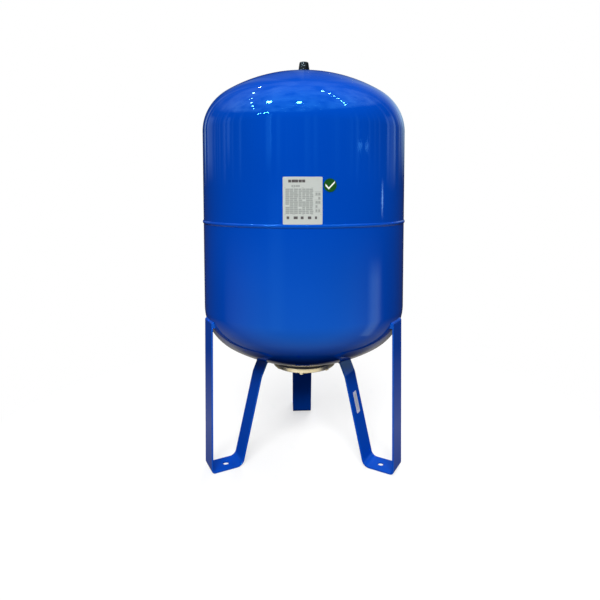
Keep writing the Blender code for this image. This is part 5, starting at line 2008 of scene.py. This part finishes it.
def world_light(s):
    """White backdrop, an even fill, and dim surroundings for the gloss to mirror."""
    world = bpy.data.worlds.new("soft_studio")
    world.use_nodes = True
    bpy.context.scene.world = world
    tree = world.node_tree
    tree.nodes.clear()
    way = add_node(tree, "ShaderNodeTexCoord", output="Generated")
    x, y, z = (add_node(tree, SPLIT, way, output=i) for i in range(3))
    gloss = floor_gloss(tree, s, y, z)
    for pattern, strength in gloss_layers(tree, s, way, x, y, z):
        gloss = add_node(tree, MATH, pattern, strength, gloss, operation="MULTIPLY_ADD")
    fill = add_node(tree, RANGE, z, *FILL_RISE, s.fill * FILL_LEAST, s.fill)
    rays = tree.nodes.new("ShaderNodeLightPath").outputs
    glossy = rays["Is Glossy Ray"]
    through = rays["Is Transmission Ray"]
    seen = add_node(tree, MATH, rays["Is Camera Ray"], through, operation="MAXIMUM")
    inputs = {"Factor": glossy, "A": fill, "B": gloss}
    lit = add_node(tree, MIX, inputs=inputs, data_type="FLOAT")
    inputs = {"Factor": seen, "A": lit, "B": 1.0}
    shown = add_node(tree, MIX, inputs=inputs, data_type="FLOAT")
    over_floor = add_node(tree, RANGE, z, *TINT_CHANGE)
    options = {"output": "Result", "data_type": "RGBA"}
    inputs = {"Factor": over_floor, "A": (*s.floor_tint, 1.0), "B": (*s.gloss_tint, 1.0)}
    mirrored = add_node(tree, MIX, inputs=inputs, **options)
    inputs = {"Factor": glossy, "A": (1.0, 1.0, 1.0, 1.0), "B": mirrored}
    tint = add_node(tree, MIX, inputs=inputs, **options)
    inputs = {"Color": tint, "Strength": shown}
    light = add_node(tree, "ShaderNodeBackground", inputs=inputs)
    add_node(tree, "ShaderNodeOutputWorld", light)


FLOOR_RADIUS = 20.0
SHADE_RADIUS = 0.36
SHADE_DROP = 0.001
FLOOR_FADE = (0.25, 0.80, 0.55, 1.0)
SHADE_FADE = (0.16, 0.35)

# Softboxes: place, aim, size and power
SOFTBOXES = {
    "overhead_softbox": ((0.0, -0.6, 3.2), (0, 0, 0.6), (2.4, 2.0), 5.0),
    "front_softbox": ((-0.4, -6.0, 5.2), (0, 0, 0.3), (5.0, 2.5), 690.0),
    "back_softbox": ((1.5, 5.0, 4.0), (0, 0, 0.3), (4.0, 2.5), 230.0),
}


def from_middle(tree, fade):
    """Share that changes with the distance from the tank's foot."""
    place = add_node(tree, "ShaderNodeTexCoord", output="Object")
    away = add_node(tree, VECTOR, place, output="Value", operation="LENGTH")
    return add_node(tree, RANGE, away, *fade)


def run_out(tree, shader, share, other):
    """Let a floor material run out into another by a share."""
    mixed = add_node(tree, "ShaderNodeMixShader", share, shader.outputs[0], other)
    tree.links.new(mixed, tree.nodes["Material Output"].inputs["Surface"])


def floor_finish():
    # Matt white studio floor: it takes the shadow near the tank and runs out
    # into the white backdrop
    material, tree, shader = new_finish(
        "studio_floor_matt", linear("#F4F4F4"), roughness=0.8, Specular_IOR_Level=0.1
    )
    share = from_middle(tree, FLOOR_FADE)
    seen = tree.nodes.new("ShaderNodeLightPath").outputs["Is Camera Ray"]
    factor = add_node(tree, MATH, share, seen, operation="MULTIPLY")
    white = add_node(tree, "ShaderNodeEmission", inputs={"Strength": 1.0})
    run_out(tree, shader, factor, white)
    return material


def shade_finish():
    # The tank's own shadow on the floor, as the gloss of the legs mirrors it
    material, tree, shader = new_finish(
        "floor_shadow_matt", linear("#101010"), roughness=1.0, Specular_IOR_Level=0.0
    )
    clear = add_node(tree, "ShaderNodeBsdfTransparent")
    run_out(tree, shader, from_middle(tree, SHADE_FADE), clear)
    return material


def disc(name, radius, height, material):
    """Round flat piece of the stage."""
    bm = bmesh.new()
    bmesh.ops.create_circle(bm, cap_ends=True, segments=SMALL_SEGMENTS, radius=radius)
    bmesh.ops.translate(bm, verts=bm.verts, vec=(0.0, 0.0, height))
    mesh = bpy.data.meshes.new(name)
    bm.to_mesh(mesh)
    bm.free()
    mesh.materials.append(material)
    item = new_object(name, mesh)
    item.visible_diffuse = False
    item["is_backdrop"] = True
    return item


def softbox(name, place, aim, size, power):
    """Area lamp that faces a point and stays out of the gloss."""
    data = bpy.data.lights.new(name, "AREA")
    data.shape = "RECTANGLE"
    data.size, data.size_y = size
    data.energy = power
    lamp = bpy.data.objects.new(name, data)
    lamp.location = place
    lamp.rotation_euler = (Vector(aim) - Vector(place)).to_track_quat("-Z", "Y").to_euler()
    bpy.context.scene.collection.objects.link(lamp)
    lamp.visible_glossy = False
    lamp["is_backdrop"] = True


class TANK_OT_stage(bpy.types.Operator):
    """Build the pale floor, the soft light and the camera"""

    bl_idname = "tank.stage"
    bl_label = "Stage"

    def execute(self, context):
        s = context.scene.tank_stage
        world_light(s)
        disc("studio_floor", FLOOR_RADIUS, 0.0, floor_finish()).visible_glossy = False
        disc("floor_shade", SHADE_RADIUS, -SHADE_DROP, shade_finish())
        for name, values in SOFTBOXES.items():
            softbox(name, *values)
        data = bpy.data.cameras.new("photo_view")
        data.lens = s.lens
        data.sensor_width = 36.0
        data.shift_x, data.shift_y = s.shift_x, s.shift_y
        camera = bpy.data.objects.new("photo_view", data)
        camera.location = (0.0, -s.camera_distance, s.camera_height)
        camera.rotation_euler = (math.pi / 2 - s.pitch, 0.0, -s.yaw)
        context.scene.collection.objects.link(camera)
        context.scene.camera = camera
        context.scene.view_settings.view_transform = "Standard"
        return {"FINISHED"}


OPERATORS = (
    TANK_OT_vessel,
    TANK_OT_girth_bead,
    TANK_OT_legs,
    TANK_OT_leg_welds,
    TANK_OT_neck,
    TANK_OT_bag,
    TANK_OT_counter_flange,
    TANK_OT_water_port,
    TANK_OT_studs,
    TANK_OT_valve,
    TANK_OT_valve_core,
    TANK_OT_cap,
    TANK_OT_rating_plate,
    TANK_OT_round_sticker,
    TANK_OT_leg_sticker,
    TANK_OT_stage,
)


class TANK_PT_builder(bpy.types.Panel):
    """Lists the steps that build the tank, with their sizes and colours"""

    bl_idname = "TANK_PT_builder"
    bl_label = "Well Pressure Tank"
    bl_space_type = "VIEW_3D"
    bl_region_type = "UI"
    bl_category = "Tank"

    def draw(self, context):
        layout = self.layout
        for operator in OPERATORS:
            layout.operator(operator.bl_idname)
        for name, group in GROUPS.items():
            box = layout.box()
            box.label(text=name.replace("_", " ").title())
            for prop in group.__annotations__:
                box.prop(getattr(context.scene, name), prop)


def register():
    for name, group in GROUPS.items():
        bpy.utils.register_class(group)
        setattr(bpy.types.Scene, name, PointerProperty(type=group))
    for cls in (*OPERATORS, TANK_PT_builder):
        bpy.utils.register_class(cls)


def unregister():
    for cls in (TANK_PT_builder, *reversed(OPERATORS)):
        bpy.utils.unregister_class(cls)
    for name, group in reversed(GROUPS.items()):
        delattr(bpy.types.Scene, name)
        bpy.utils.unregister_class(group)


def main():
    register()
    for operator in OPERATORS:
        group, name = operator.bl_idname.split(".")
        getattr(getattr(bpy.ops, group), name)()
    boxes = {"cad": CAD_BOX, "visual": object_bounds()}
    plain = {label: [list(corner) for corner in box] for label, box in boxes.items()}


if __name__ == "__main__":
    main()
